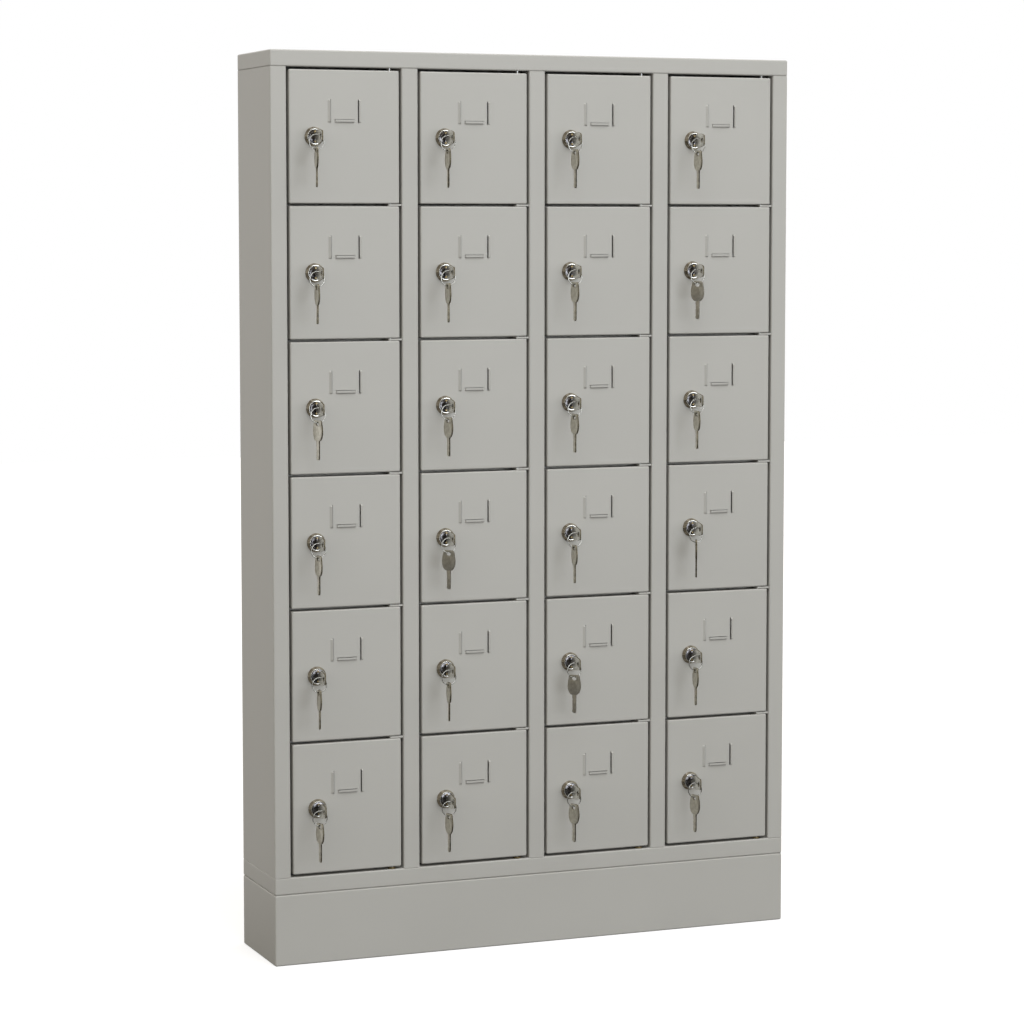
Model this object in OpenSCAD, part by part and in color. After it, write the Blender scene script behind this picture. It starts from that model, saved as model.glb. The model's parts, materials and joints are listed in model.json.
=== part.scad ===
// Phone locker cabinet: a shallow steel cabinet of small lockable doors on a plinth.
// Millimetres, +Z up, doors facing -Y. The origin is on the floor, midway between the back
// of the cabinet and the front of the hanging keys, and midway across the width.

/* [Cabinet] */
// Width across the side panels
cabinet_w = 620; // [560:1:700]
// Depth from the door faces to the back
cabinet_d = 120; // [100:1:200]
// Height with the plinth
cabinet_h = 1000; // [940:1:1100]
// Height of the plinth
plinth_h = 79; // [50:1:110]
// Height of the bottom tray's rim
rail_h = 19; // [16:0.5:30]
// Height of the top cover's rim
skirt_h = 18; // [16:0.5:30]
// Face width of each side panel's stile
stile_w = 18.5; // [17:0.5:26]
// Face width of each mullion
mullion_w = 19; // [18.5:0.5:26]
// Depth of the folds behind the stiles and mullions
fold_d = 13; // [8:0.5:14]
// Width of the inward lips and rear flanges
lip_w = 14; // [12:0.5:18]
// Thickness of the cabinet sheet
sheet_t = 1.2; // [0.8:0.1:1.5]
// Distance of the shelves behind the door faces
shelf_set = 20; // [18:0.5:30]
// Height of the fold along each shelf's front
shelf_fold = 12; // [6:0.5:20]
// Width of the legs of the angles that join the partitions to the mullions
angle_w = 7; // [4:0.5:7.5]
// Diameter of the wall fixing holes
wall_hole_d = 8; // [6:0.5:10]

/* [Doors] */
// Columns of doors
columns = 4; // [1:1:4]
// Rows of doors
rows = 6; // [1:1:6]
// Gap round each door
door_gap = 2.8; // [2.5:0.1:4]
// Thickness of the door sheet
door_t = 1.2; // [0.8:0.1:1.5]
// Depth of the folds round each door
door_fold = 12; // [10:0.5:12]

/* [Card tabs] */
// Outer width between the upright card tabs
card_w = 39; // [30:0.5:50]
// Height of the upright card tabs
card_h = 25.5; // [18:0.5:30]
// Distance of the card tabs below the door's top edge
card_drop = 31.5; // [15:0.5:32]
// Width of each card tab
card_tab_w = 4; // [3:0.5:6]
// Length of the lower card tab
card_foot = 23; // [12:0.5:26]
// Height of the card tabs above the door face
card_rise = 1.6; // [1.2:0.1:2.5]
// Sheet thickness left in the card tabs
card_lip = 0.7; // [0.5:0.1:0.8]

/* [Hinges] */
// Distance of the hinge pins from the door's hinge edge
hinge_in = 10; // [8:0.5:11]
// Distance of the hinge pins behind the door face
hinge_back = 5; // [4.5:0.1:6]
// Diameter of the hinge pins
pin_d = 4; // [3:0.1:4.5]
// Reach of the pins past a door's fold
pin_reach = 3; // [1:0.5:6]
// Running clearance on the radius of each pin
pin_clear = 0.05; // [0.02:0.01:0.1]
// Diameter of the heads on the end pins
pin_head_d = 6.5; // [6:0.1:8]
// Thickness of the heads on the end pins
pin_head_t = 1.5; // [1:0.1:2]
// Reach of each hinge tab from its mullion
tab_reach = 15.5; // [15:0.5:18]
// Depth of each hinge tab from front to back
tab_d = 11; // [9:0.5:12]
// Distance of the hinge tabs behind the door face
tab_set = 0.5; // [0.2:0.1:1]
// Thickness of the hinge tabs
tab_t = 2; // [1.2:0.1:2]
// Air under the hinge tabs and over the washers
tab_air = 0.3; // [0.2:0.05:0.4]
// Diameter of the washers under the lowest doors
washer_d = 8.5; // [7:0.1:9.5]

/* [Locks] */
// Distance of each lock from the door's free edge
lock_in = 28; // [24:0.5:36]
// Diameter of the conical lock bezel
bezel_d = 21; // [20:0.5:24]
// Height of the bezel above the door face
bezel_h = 4.6; // [3:0.1:6]
// Diameter of the lock barrel in the door
barrel_d = 18.6; // [18:0.1:19.5]
// Diameter of the turning plug
plug_d = 15; // [13:0.1:15.5]
// Running clearance on the radius of the plug
plug_clear = 0.05; // [0.02:0.01:0.1]
// Depth of the plug's face below the bezel's rim
plug_set = 0.4; // [0.2:0.1:1]
// Width across the flats of the lock nut
nut_af = 24; // [22:0.5:27]
// Thickness of the lock nut
nut_t = 5; // [3:0.5:6]
// Air between the folds and the cam
cam_clear = 2.5; // [1:0.1:4]
// Reach of the turned cam behind the frame
cam_overlap = 7; // [4:0.5:7.5]
// Width of the cam
cam_w = 12; // [8:0.5:14]
// Thickness of the cam
cam_t = 2; // [1.5:0.1:2.5]
// Width across the flats of the cam screw's head
screw_af = 8; // [6:0.5:10]
// Thickness of the cam screw's head
screw_t = 3; // [2:0.5:4]
// Air between seated pieces that share a file
seat_gap = 0.05; // [0.02:0.01:0.1]

/* [Keys] */
// Thickness of the keys
key_t = 1.8; // [1.5:0.1:1.9]
// Greatest width of a key's bow
bow_w = 15.5; // [13:0.5:18]
// Width of a bow's outer end
bow_end_w = 11.5; // [9:0.5:12.5]
// Length of a bow
bow_len = 22.5; // [18:0.5:26]
// Width of the neck where the bow meets the blade
neck_w = 8; // [6:0.5:10]
// Length of a key's blade
blade_len = 20.5; // [16:0.5:21]
// Width of a key's blade
blade_w = 4.4; // [3.5:0.1:6]
// Air between the plug's face and the inserted bow
key_stand = 3; // [2:0.5:5]
// Air round the blade in the keyway
key_clear = 0.15; // [0.1:0.05:0.3]
// Distance of the bow's hole from its outer end
key_hole_in = 4; // [3.5:0.5:6]
// Diameter of the bow's hole
key_hole_d = 5.1; // [4.9:0.1:5.5]
// Outer diameter of the split ring
ring_d = 17.4; // [16:0.1:22]
// Diameter of the split ring's wire
wire_d = 1; // [0.8:0.1:1]
// Sideways lean of the ring in the hole, in degrees
ring_lean = 42; // [40:1:44]
// Air between the ring's wire and the upper edge of a spare key's hole
spare_gap = 0.8; // [0.6:0.05:0.9]

/* [Hidden] */
$fn = 48;
eps = 0.5;
z_tray = plinth_h + rail_h;
z_top = cabinet_h - skirt_h;
door_w = (cabinet_w - 2 * stile_w - (columns - 1) * mullion_w - 2 * columns * door_gap) / columns;
door_h = (z_top - z_tray - (rows + 1) * door_gap) / rows;
column_pitch = door_w + 2 * door_gap + mullion_w;
row_pitch = door_h + door_gap;
lock_z = door_h / 2;
hinge_x = door_w - hinge_in;
plug_back = fold_d + cam_clear;
cam_len = lock_in + door_gap + cam_overlap;
bow_out = bezel_h - plug_set + key_stand + bow_len;
hole_out = bow_out - key_hole_in;
key_reach = hole_out + bow_w / 2;
front = (key_reach - cabinet_d) / 2;
back = front + cabinet_d;
ring_r = (ring_d - wire_d) / 2;
ring_x = -ring_r * sin(ring_lean);
ring_y = -ring_r * cos(ring_lean);
spare_y = ring_y - ring_r - (key_hole_d - wire_d) / 2 + spare_gap;
cut_count = 4;
cut_depth = 0.9;
washer_t = door_gap - 2 * tab_air;

// Turn of each hanging spare key about the vertical, row by row from the top left
SPARE_YAW = [
    [-7, 0, 8, 8],
    [-1, 0, 10, 50],
    [21, 16, 10, 1],
    [9, 50, -1, -23],
    [-3, -5, 50, -3],
    [12, 10, 24, 18],
];

PAINT = [0.71, 0.71, 0.69];
NICKEL = [0.72, 0.69, 0.62];
CHROME = [0.60, 0.60, 0.64];
KEY_STEEL = [0.66, 0.64, 0.56];
ZINC = [0.62, 0.63, 0.64];
BRASS = [0.72, 0.58, 0.30];

// Left edge of a column's doors
function door_x(c) = -cabinet_w / 2 + stile_w + door_gap + (c - 1) * column_pitch;
// Lower edge of a row's doors, with row 1 at the top
function door_z(r) = z_tray + door_gap + (rows - r) * row_pitch;
// Centre of the mullion at the right of a column
function mullion_x(c) = door_x(c) + door_w + door_gap + mullion_w / 2;
// Faces that the shelves of a column reach
function bay_left(c) = c == 1 ? -cabinet_w / 2 + sheet_t : mullion_x(c - 1) + sheet_t / 2;
function bay_right(c) = c == columns ? cabinet_w / 2 - sheet_t : mullion_x(c) - sheet_t / 2;

// Box between two corners
module block(low, high) {
    translate(low) cube(high - low);
}

// Four walls of folded sheet round the cabinet's outline
module rim(z0, z1) {
    difference() {
        block([-cabinet_w / 2, front, z0], [cabinet_w / 2, back, z1]);
        block([-cabinet_w / 2 + sheet_t, front + sheet_t, z0 - eps],
              [cabinet_w / 2 - sheet_t, back - sheet_t, z1 + eps]);
    }
}

// Lip folded inward all round at one height
module lip(z0) {
    difference() {
        block([-cabinet_w / 2, front, z0], [cabinet_w / 2, back, z0 + sheet_t]);
        block([-cabinet_w / 2 + lip_w, front + lip_w, z0 - eps],
              [cabinet_w / 2 - lip_w, back - lip_w, z0 + sheet_t + eps]);
    }
}

// Flat plate over the cabinet's whole outline
module plate(z0) {
    block([-cabinet_w / 2, front, z0], [cabinet_w / 2, back, z0 + sheet_t]);
}

// Holes of one size on the hinge line of every column
module hinge_line_holes(z0) {
    for (c = [1:columns])
        translate([door_x(c) + hinge_x, front + hinge_back, z0 - eps])
            cylinder(d = pin_d, h = sheet_t + 2 * eps);
}

module top_cover() {
    color(PAINT) difference() {
        union() {
            rim(z_top, cabinet_h);
            plate(cabinet_h - sheet_t);
            lip(z_top);
        }
        hinge_line_holes(z_top);
    }
}

module bottom_tray() {
    color(PAINT) difference() {
        union() {
            rim(plinth_h, z_tray);
            plate(z_tray - sheet_t);
            lip(plinth_h);
        }
        hinge_line_holes(z_tray - sheet_t);
    }
}

module plinth() {
    color(PAINT) union() {
        rim(0, plinth_h);
        lip(0);
        lip(plinth_h - sheet_t);
    }
}

module side_panel_left() {
    x0 = -cabinet_w / 2;
    color(PAINT) union() {
        block([x0, front, z_tray], [x0 + sheet_t, back, z_top]);
        block([x0, front, z_tray], [x0 + stile_w, front + sheet_t, z_top]);
        block([x0 + stile_w - sheet_t, front, z_tray], [x0 + stile_w, front + fold_d, z_top]);
        block([x0, back - sheet_t, z_tray], [x0 + lip_w, back, z_top]);
    }
}

module side_panel_right() {
    mirror([1, 0, 0]) side_panel_left();
}

module back_panel() {
    color(PAINT) difference() {
        block([-cabinet_w / 2 + sheet_t, back - 2 * sheet_t, z_tray],
              [cabinet_w / 2 - sheet_t, back - sheet_t, z_top]);
        for (c = [1, columns], r = [1, rows])
            translate([door_x(c) + door_w / 2, back - 2 * sheet_t - eps, door_z(r) + lock_z])
                rotate([-90, 0, 0]) cylinder(d = wall_hole_d, h = sheet_t + 2 * eps);
    }
}

// Channel of folded sheet that closes the front between two columns
module mullion() {
    color(PAINT) difference() {
        block([-mullion_w / 2, front, z_tray], [mullion_w / 2, front + fold_d, z_top]);
        block([-mullion_w / 2 + sheet_t, front + sheet_t, z_tray - eps],
              [mullion_w / 2 - sheet_t, front + fold_d + eps, z_top + eps]);
    }
}

module mullions() {
    for (c = [1:1:columns - 1]) translate([mullion_x(c), 0, 0]) mullion();
}

// Flat upright sheet behind a mullion, with a tongue inside the top cover
module partition() {
    color(PAINT) union() {
        block([-sheet_t / 2, front + sheet_t, z_tray], [sheet_t / 2, back - 2 * sheet_t, z_top]);
        block([-sheet_t / 2, front + lip_w, z_top - eps],
              [sheet_t / 2, back - lip_w, cabinet_h - sheet_t]);
    }
}

// Angle that joins a partition to the back of its mullion
module partition_angle() {
    near = sheet_t / 2 + seat_gap;
    start = front + sheet_t;
    color(PAINT) union() {
        block([near, start, z_tray], [angle_w, start + sheet_t, z_top]);
        block([near, start, z_tray], [near + sheet_t, start + angle_w, z_top]);
    }
}

module partitions() {
    for (c = [1:1:columns - 1]) translate([mullion_x(c), 0, 0]) {
        partition();
        partition_angle();
    }
}

// Shelf over row r of column c, with its front edge folded down
module shelf(r, c) {
    z0 = door_z(r) - (door_gap + sheet_t) / 2;
    color(PAINT) union() {
        block([bay_left(c), front + shelf_set, z0], [bay_right(c), back - 2 * sheet_t, z0 + sheet_t]);
        block([bay_left(c), front + shelf_set, z0 - shelf_fold],
              [bay_right(c), front + shelf_set + sheet_t, z0 + sheet_t]);
    }
}

module shelves() {
    for (r = [1:1:rows - 1], c = [1:columns]) shelf(r, c);
}

// Plate welded to the frame under the doors of row r, with a hole for the pin
module hinge_tab(r, c) {
    z0 = door_z(r) - door_gap + tab_air;
    x1 = door_x(c) + door_w + door_gap;
    color(PAINT) difference() {
        block([x1 - tab_reach, front + tab_set, z0], [x1, front + tab_set + tab_d, z0 + tab_t]);
        translate([door_x(c) + hinge_x, front + hinge_back, z0 - eps])
            cylinder(d = pin_d, h = tab_t + 2 * eps);
    }
}

module hinge_tabs() {
    for (r = [1:1:rows - 1], c = [1:columns]) hinge_tab(r, c);
}

// Plain pin between two heights on a column's hinge line
module pin(c, z0, z1) {
    color(ZINC) translate([door_x(c) + hinge_x, front + hinge_back, z0])
        cylinder(d = pin_d, h = z1 - z0);
}

// Flat head at one end of an end pin
module pin_head(c, z0) {
    color(ZINC) translate([door_x(c) + hinge_x, front + hinge_back, z0])
        cylinder(d = pin_head_d, h = pin_head_t);
}

module hinge_pins() {
    reach = door_t + pin_reach;
    for (c = [1:columns]) {
        for (r = [1:1:rows - 1]) pin(c, door_z(r) - door_gap - reach, door_z(r) + reach);
        union() {
            pin(c, z_top - door_gap - reach, z_top + sheet_t + eps);
            pin_head(c, z_top + sheet_t);
        }
        union() {
            pin(c, z_tray - sheet_t - eps, z_tray + door_gap + reach);
            pin_head(c, z_tray - sheet_t - pin_head_t);
        }
    }
}

module hinge_washers() {
    color(BRASS) for (c = [1:columns])
        translate([door_x(c) + hinge_x, front + hinge_back, z_tray]) difference() {
            cylinder(d = washer_d, h = washer_t);
            translate([0, 0, -eps]) cylinder(d = pin_d, h = washer_t + 2 * eps);
        }
}

// Door pan with its lower left front corner at the origin and its face on y = 0
module door_pan() {
    difference() {
        cube([door_w, door_fold, door_h]);
        block([door_t, door_t, door_t], [door_w - door_t, door_fold + eps, door_h - door_t]);
    }
}

// Pressed tab that stands on the door face: a wall along one side and a lip over the card
module card_tab(length) {
    block([0, -card_rise, 0], [1, 0, length]);
    block([0, -card_rise, 0], [card_tab_w, card_lip - card_rise, length]);
}

// The three card tabs, open towards the card and at the top
module card_tabs() {
    translate([(door_w - card_w) / 2, 0, door_h - card_drop - card_h]) {
        card_tab(card_h);
        translate([card_w, 0, 0]) mirror([1, 0, 0]) card_tab(card_h);
        translate([(card_w + card_foot) / 2, 0, 0]) rotate([0, -90, 0]) card_tab(card_foot);
    }
}

// Slots left in the door sheet behind the card tabs
module card_slots() {
    slot_w = card_tab_w - 1;
    translate([(door_w - card_w) / 2, 0, door_h - card_drop - card_h]) {
        block([1, -eps / 2, 0], [1 + slot_w, door_t + eps, card_h]);
        block([card_w - 1 - slot_w, -eps / 2, 0], [card_w - 1, door_t + eps, card_h]);
        block([(card_w - card_foot) / 2, -eps / 2, 1],
              [(card_w + card_foot) / 2, door_t + eps, 1 + slot_w]);
    }
}

// Moves to the lock's centre on the door face: x right, y up, z out of the door
module at_lock() {
    translate([lock_in, 0, lock_z]) rotate([90, 0, 0]) children();
}

// Lock housing: conical bezel outside and a barrel through the door, bored for the plug
module lock_housing() {
    bore_r = plug_d / 2 + plug_clear;
    rim_r = bore_r + 1;
    color(NICKEL) rotate_extrude() polygon([
        [bore_r, -plug_back], [barrel_d / 2, -plug_back], [barrel_d / 2, seat_gap],
        [bezel_d / 2, seat_gap], [bezel_d / 2, 0.6], [rim_r, bezel_h], [bore_r, bezel_h],
    ]);
}

module lock_nut() {
    color(ZINC) translate([0, 0, -door_t - seat_gap - nut_t]) difference() {
        cylinder(r = nut_af / 2 / cos(30), h = nut_t, $fn = 6);
        translate([0, 0, -eps]) cylinder(d = barrel_d + 2 * seat_gap, h = nut_t + 2 * eps);
    }
}

// Key in its own plane: origin at the bow's hole, outer end towards +y, blade towards -y
module key() {
    end_y = key_hole_in;
    neck_y = end_y - bow_len;
    tip_y = neck_y - blade_len;
    cut_pitch = (blade_len - 6) / cut_count;
    half = [
        [bow_end_w / 2 - 1, end_y], [bow_end_w / 2, end_y - 1],
        [bow_w / 2, end_y - 0.45 * bow_len], [bow_w / 2, end_y - 0.65 * bow_len],
        [bow_w / 2 - 1.2, end_y - 0.85 * bow_len], [neck_w / 2, neck_y],
        [blade_w / 2, neck_y], [blade_w / 2, tip_y + 1.5], [0.6, tip_y],
    ];
    outline = concat(half, [for (i = [len(half) - 1:-1:0]) [-half[i][0], half[i][1]]]);
    color(KEY_STEEL) difference() {
        translate([0, 0, -key_t / 2]) linear_extrude(key_t) polygon(outline);
        translate([0, 0, -key_t]) cylinder(d = key_hole_d, h = 2 * key_t);
        for (i = [1:cut_count])
            translate([blade_w / 2, tip_y + 1 + i * cut_pitch, 0])
                rotate([0, 0, 45]) cube([cut_depth * sqrt(2), cut_depth * sqrt(2), 2 * key_t], center = true);
    }
}

// Split ring through the inserted key's hole
module split_ring() {
    color(CHROME) translate([ring_x, ring_y, hole_out])
        rotate_extrude() translate([ring_r, 0]) circle(d = wire_d);
}

// Spare key hanging on the ring's lowest point
module spare_key(yaw) {
    translate([ring_x, spare_y, hole_out]) rotate([0, 90 + yaw, 0]) key();
}

module door(r, c) {
    translate([door_x(c), front, door_z(r)]) {
        color(PAINT) difference() {
            union() {
                door_pan();
                card_tabs();
            }
            card_slots();
            at_lock() translate([0, 0, -door_t - eps])
                cylinder(d = barrel_d + 2 * seat_gap, h = door_t + 2 * eps);
            for (z0 = [-eps, door_h - door_t - eps])
                translate([hinge_x, hinge_back, z0])
                    cylinder(d = pin_d + 2 * pin_clear, h = door_t + 2 * eps);
        }
        at_lock() {
            lock_housing();
            lock_nut();
            split_ring();
            spare_key(SPARE_YAW[r - 1][c - 1]);
        }
    }
}

// Turning plug with its keyway
module plug() {
    color(CHROME) difference() {
        translate([0, 0, -plug_back]) cylinder(d = plug_d, h = plug_back + bezel_h - plug_set);
        block([-key_t / 2 - key_clear, -blade_w / 2 - key_clear, bow_out - bow_len - blade_len - eps],
              [key_t / 2 + key_clear, blade_w / 2 + key_clear, bezel_h]);
    }
}

// Cam hanging down from the plug's end
module cam() {
    tip = cam_w / 4;
    color(ZINC) translate([0, 0, -plug_back - seat_gap - cam_t]) linear_extrude(cam_t) union() {
        circle(d = plug_d);
        polygon([
            [-cam_w / 2, 0], [-cam_w / 2, tip - cam_len], [tip - cam_w / 2, -cam_len],
            [cam_w / 2 - tip, -cam_len], [cam_w / 2, tip - cam_len], [cam_w / 2, 0],
        ]);
    }
}

module cam_screw() {
    color(ZINC) translate([0, 0, -plug_back - cam_t - 2 * seat_gap - screw_t])
        cylinder(r = screw_af / 2 / cos(30), h = screw_t, $fn = 6);
}

module lock_core(r, c) {
    translate([door_x(c), front, door_z(r)]) at_lock() {
        plug();
        cam();
        cam_screw();
        translate([0, 0, hole_out]) rotate([90, 0, 90]) key();
    }
}

side_panel_left();
side_panel_right();
top_cover();
bottom_tray();
plinth();
back_panel();
mullions();
partitions();
shelves();
hinge_tabs();
hinge_pins();
hinge_washers();
for (r = [1:rows], c = [1:columns]) {
    door(r, c);
    lock_core(r, c);
}
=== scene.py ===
"""Phone locker cabinet: 24 small lockable steel doors in a shallow cabinet on a plinth.

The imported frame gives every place. This script makes the finished pieces around it, in metres,
with +Z up and the doors facing -Y.
"""
import json
import logging
import math
from collections.abc import Iterable, Sequence
from dataclasses import dataclass, field
from enum import Enum

import bmesh
import bpy
from mathutils import Matrix, Vector


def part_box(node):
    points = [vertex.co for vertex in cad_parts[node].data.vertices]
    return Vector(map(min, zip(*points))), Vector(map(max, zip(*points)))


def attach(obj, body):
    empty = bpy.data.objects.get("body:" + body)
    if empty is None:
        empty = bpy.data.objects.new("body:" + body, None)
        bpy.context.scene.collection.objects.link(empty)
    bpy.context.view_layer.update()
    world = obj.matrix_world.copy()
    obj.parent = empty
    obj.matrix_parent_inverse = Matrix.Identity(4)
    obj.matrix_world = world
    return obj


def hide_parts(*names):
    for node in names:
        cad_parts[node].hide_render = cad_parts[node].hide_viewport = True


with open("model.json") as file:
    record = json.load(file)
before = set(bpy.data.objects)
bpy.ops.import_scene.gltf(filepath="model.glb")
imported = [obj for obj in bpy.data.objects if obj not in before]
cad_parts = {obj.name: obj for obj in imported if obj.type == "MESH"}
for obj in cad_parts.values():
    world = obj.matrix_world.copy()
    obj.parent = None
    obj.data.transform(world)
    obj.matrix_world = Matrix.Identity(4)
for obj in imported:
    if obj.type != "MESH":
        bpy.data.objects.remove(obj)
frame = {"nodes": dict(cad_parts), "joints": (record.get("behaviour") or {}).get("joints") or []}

log = logging.getLogger("phone_locker")

Colour = tuple[float, float, float]
Pair = tuple[float, float]
Path = Sequence[Pair]
Section = tuple[list[Vector], list[Vector]]

MERGE = 1e-6
BEND_STEPS = 4
SMOOTH_ANGLE = 35.0
UPRIGHT = Matrix.Rotation(math.pi / 2, 4, "X")
UNMOVED = Matrix.Identity(4)


class Axis(Enum):
    """Direction in which a section is drawn out to a length of sheet."""

    X = "x"
    Z = "z"


class Side(Enum):
    """Side of the cabinet that a panel closes."""

    LEFT = 1
    RIGHT = -1


class Mouth(Enum):
    """Direction in which a pressed card tab is open."""

    RIGHT = "right"
    LEFT = "left"
    UP = "up"


class Signal:
    """Output of a shader node that takes part in Python arithmetic."""

    def __init__(self, graph: "Graph", socket: bpy.types.NodeSocket | None) -> None:
        """Keeps the graph and the socket, which an output node doesn't have."""
        self.graph = graph
        self.socket = socket

    def _math(self, operation: str, first: "Value", second: "Value") -> "Signal":
        """Adds one Math node."""
        return self.graph.node("ShaderNodeMath", {"operation": operation}, {0: first, 1: second})

    def __add__(self, other: "Value") -> "Signal":
        """Sum of two values."""
        return self._math("ADD", self, other)

    def __radd__(self, other: "Value") -> "Signal":
        """Sum with a number on the left."""
        return self._math("ADD", other, self)

    def __sub__(self, other: "Value") -> "Signal":
        """Difference of two values."""
        return self._math("SUBTRACT", self, other)

    def __rsub__(self, other: "Value") -> "Signal":
        """Difference from a number on the left."""
        return self._math("SUBTRACT", other, self)

    def __mul__(self, other: "Value") -> "Signal":
        """Product of two values."""
        return self._math("MULTIPLY", self, other)

    def __rmul__(self, other: "Value") -> "Signal":
        """Product with a number on the left."""
        return self._math("MULTIPLY", other, self)

    def spread(self, low: float, high: float) -> "Signal":
        """Maps low to 0 and high to 1, with a soft curve and nothing beyond them.

        Args:
            low: Value that becomes 0.
            high: Value that becomes 1.

        Returns:
            The mapped value.
        """
        settings = {"interpolation_type": "SMOOTHSTEP"}
        return self.graph.node("ShaderNodeMapRange", settings, {0: self, 1: low, 2: high})


Value = Signal | float


class Graph:
    """Node tree of one material or of the world, with one way to add any node."""

    def __init__(self, owner: bpy.types.Material | bpy.types.World) -> None:
        """Clears the owner's tree and keeps it.

        Args:
            owner: Material or world that the tree belongs to.
        """
        owner.use_nodes = True
        self.tree = owner.node_tree
        self.tree.nodes.clear()

    def node(
        self,
        kind: str,
        settings: dict[str, object] | None = None,
        inputs: dict[int | str, object] | None = None,
        output: int | str = 0,
    ) -> Signal:
        """Adds a node, sets it up and links it.

        Args:
            kind: Blender's name of the node type.
            settings: Properties of the node, set before its sockets.
            inputs: Numbers, colours or signals by socket name or number.
            output: Socket that the result comes from.

        Returns:
            The chosen output.
        """
        made = self.tree.nodes.new(kind)
        for name, value in (settings or {}).items():
            setattr(made, name, value)
        for key, value in (inputs or {}).items():
            if isinstance(value, Signal):
                self.tree.links.new(value.socket, made.inputs[key])
            else:
                made.inputs[key].default_value = value
        return Signal(self, made.outputs[output] if made.outputs else None)

    def place(self) -> Signal:
        """Position on the piece in metres."""
        return self.node("ShaderNodeTexCoord", output="Object")

    def stretched(self, place: Signal, factors: tuple[float, float, float]) -> Signal:
        """Position scaled along each axis."""
        settings = {"operation": "MULTIPLY"}
        return self.node("ShaderNodeVectorMath", settings, {0: place, 1: factors})

    def noise(self, place: Signal, width: float, detail: float = 2.0) -> Signal:
        """Soft noise from 0 to 1.

        Args:
            place: Position that it is read at.
            width: Width of its patches in metres.
            detail: Number of finer layers.

        Returns:
            The noise.
        """
        inputs = {"Vector": place, "Scale": 1.0 / width, "Detail": detail, "Roughness": 0.5}
        return self.node("ShaderNodeTexNoise", inputs=inputs)

    def blended(self, factor: Value, first: Signal | Colour, second: Signal | Colour) -> Signal:
        """Colour between two colours.

        Args:
            factor: 0 for the first colour and 1 for the second.
            first: Linear colour, fixed or from a node.
            second: Linear colour, fixed or from a node.

        Returns:
            The mixed colour.
        """
        inputs = {0: factor}
        for socket, colour in ((6, first), (7, second)):
            inputs[socket] = colour if isinstance(colour, Signal) else (*colour, 1.0)
        return self.node("ShaderNodeMix", {"data_type": "RGBA"}, inputs, output=2)

    def relief(self, height: Signal, depth: float) -> Signal:
        """Normal of a fine relief.

        Args:
            height: Height from 0 to 1.
            depth: Real height of 1, in metres.

        Returns:
            The bumped normal.
        """
        return self.node("ShaderNodeBump", inputs={"Distance": depth, "Height": height})

    def surface(self, **inputs: object) -> None:
        """Adds the surface shader and joins it to the output.

        Args:
            **inputs: Socket names, with _ for a space, and their values.
        """
        named = {key.replace("_", " "): value for key, value in inputs.items()}
        shader = self.node("ShaderNodeBsdfPrincipled", inputs=named)
        self.node("ShaderNodeOutputMaterial", inputs={"Surface": shader})


@dataclass(frozen=True)
class PowderCoat:
    """Satin powder coat on folded steel sheet."""

    name: str = "powder_coat_light_grey"
    light: Colour = (0.455, 0.449, 0.420)
    deep: Colour = (0.438, 0.432, 0.404)
    roughness: float = 0.46
    peel_width: float = 0.0016
    peel_depth: float = 0.000012
    speck_width: float = 0.0007
    wave_width: float = 0.09
    wave_depth: float = 0.00025

    def build(self) -> bpy.types.Material:
        """Makes the material: orange peel, fine specks and the slow waves of thin sheet.

        Returns:
            The material.
        """
        material = bpy.data.materials.new(self.name)
        graph = Graph(material)
        place = graph.place()
        wave = graph.noise(place, self.wave_width, detail=1.0)
        peel = graph.noise(place, self.peel_width, detail=1.0)
        speck = graph.noise(place, self.speck_width)
        shade = (wave * 0.5 + speck * 0.5).spread(0.3, 0.7)
        rough = self.roughness + (speck - 0.5) * 0.10 + (wave - 0.5) * 0.06
        slow = graph.relief(wave, self.wave_depth)
        fine = {"Distance": self.peel_depth, "Height": peel, "Normal": slow}
        graph.surface(
            Base_Color=graph.blended(shade, self.deep, self.light),
            Roughness=rough,
            Normal=graph.node("ShaderNodeBump", inputs=fine),
            Specular_IOR_Level=0.4,
        )
        return material


@dataclass(frozen=True)
class TurnedNickel:
    """Nickel plate on a turned cone, with fine lines round it and streaks across them; the streaks'
    bright and dark colour is painted reflection.
    """

    name: str = "turned_nickel"
    bright: Colour = (0.70, 0.64, 0.52)
    dark: Colour = (0.16, 0.13, 0.09)
    roughness: float = 0.2
    line_width: float = 0.00012
    line_depth: float = 0.000004
    streaks: float = 5.0

    def build(self) -> bpy.types.Material:
        """Makes the material around the piece's own Z axis.

        Returns:
            The material.
        """
        material = bpy.data.materials.new(self.name)
        graph = Graph(material)
        place = graph.place()
        turn = graph.node("ShaderNodeTexGradient", {"gradient_type": "RADIAL"}, {"Vector": place})
        flat = graph.stretched(place, (1.0, 1.0, 0.0))
        radius = graph.node("ShaderNodeVectorMath", {"operation": "LENGTH"}, {0: flat}, "Value")
        round_it = {"X": turn * self.streaks, "Y": radius * 40.0, "Z": 0.0}
        streak = graph.node("ShaderNodeCombineXYZ", inputs=round_it)
        # Painted reflection: bright and dark streaks of colour round the cone, the dark colour
        # standing in for dark reflections.
        light = graph.noise(streak, 1.0, detail=3.0).spread(0.34, 0.68)
        lines_at = graph.node("ShaderNodeCombineXYZ", inputs={"X": radius, "Y": turn * 0.0004})
        lines = graph.noise(lines_at, self.line_width)
        graph.surface(
            Base_Color=graph.blended(light, self.dark, self.bright),
            Metallic=1.0,
            Roughness=self.roughness + (lines - 0.5) * 0.16,
            Normal=graph.relief(lines, self.line_depth),
            Anisotropic=0.5,
        )
        return material


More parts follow.
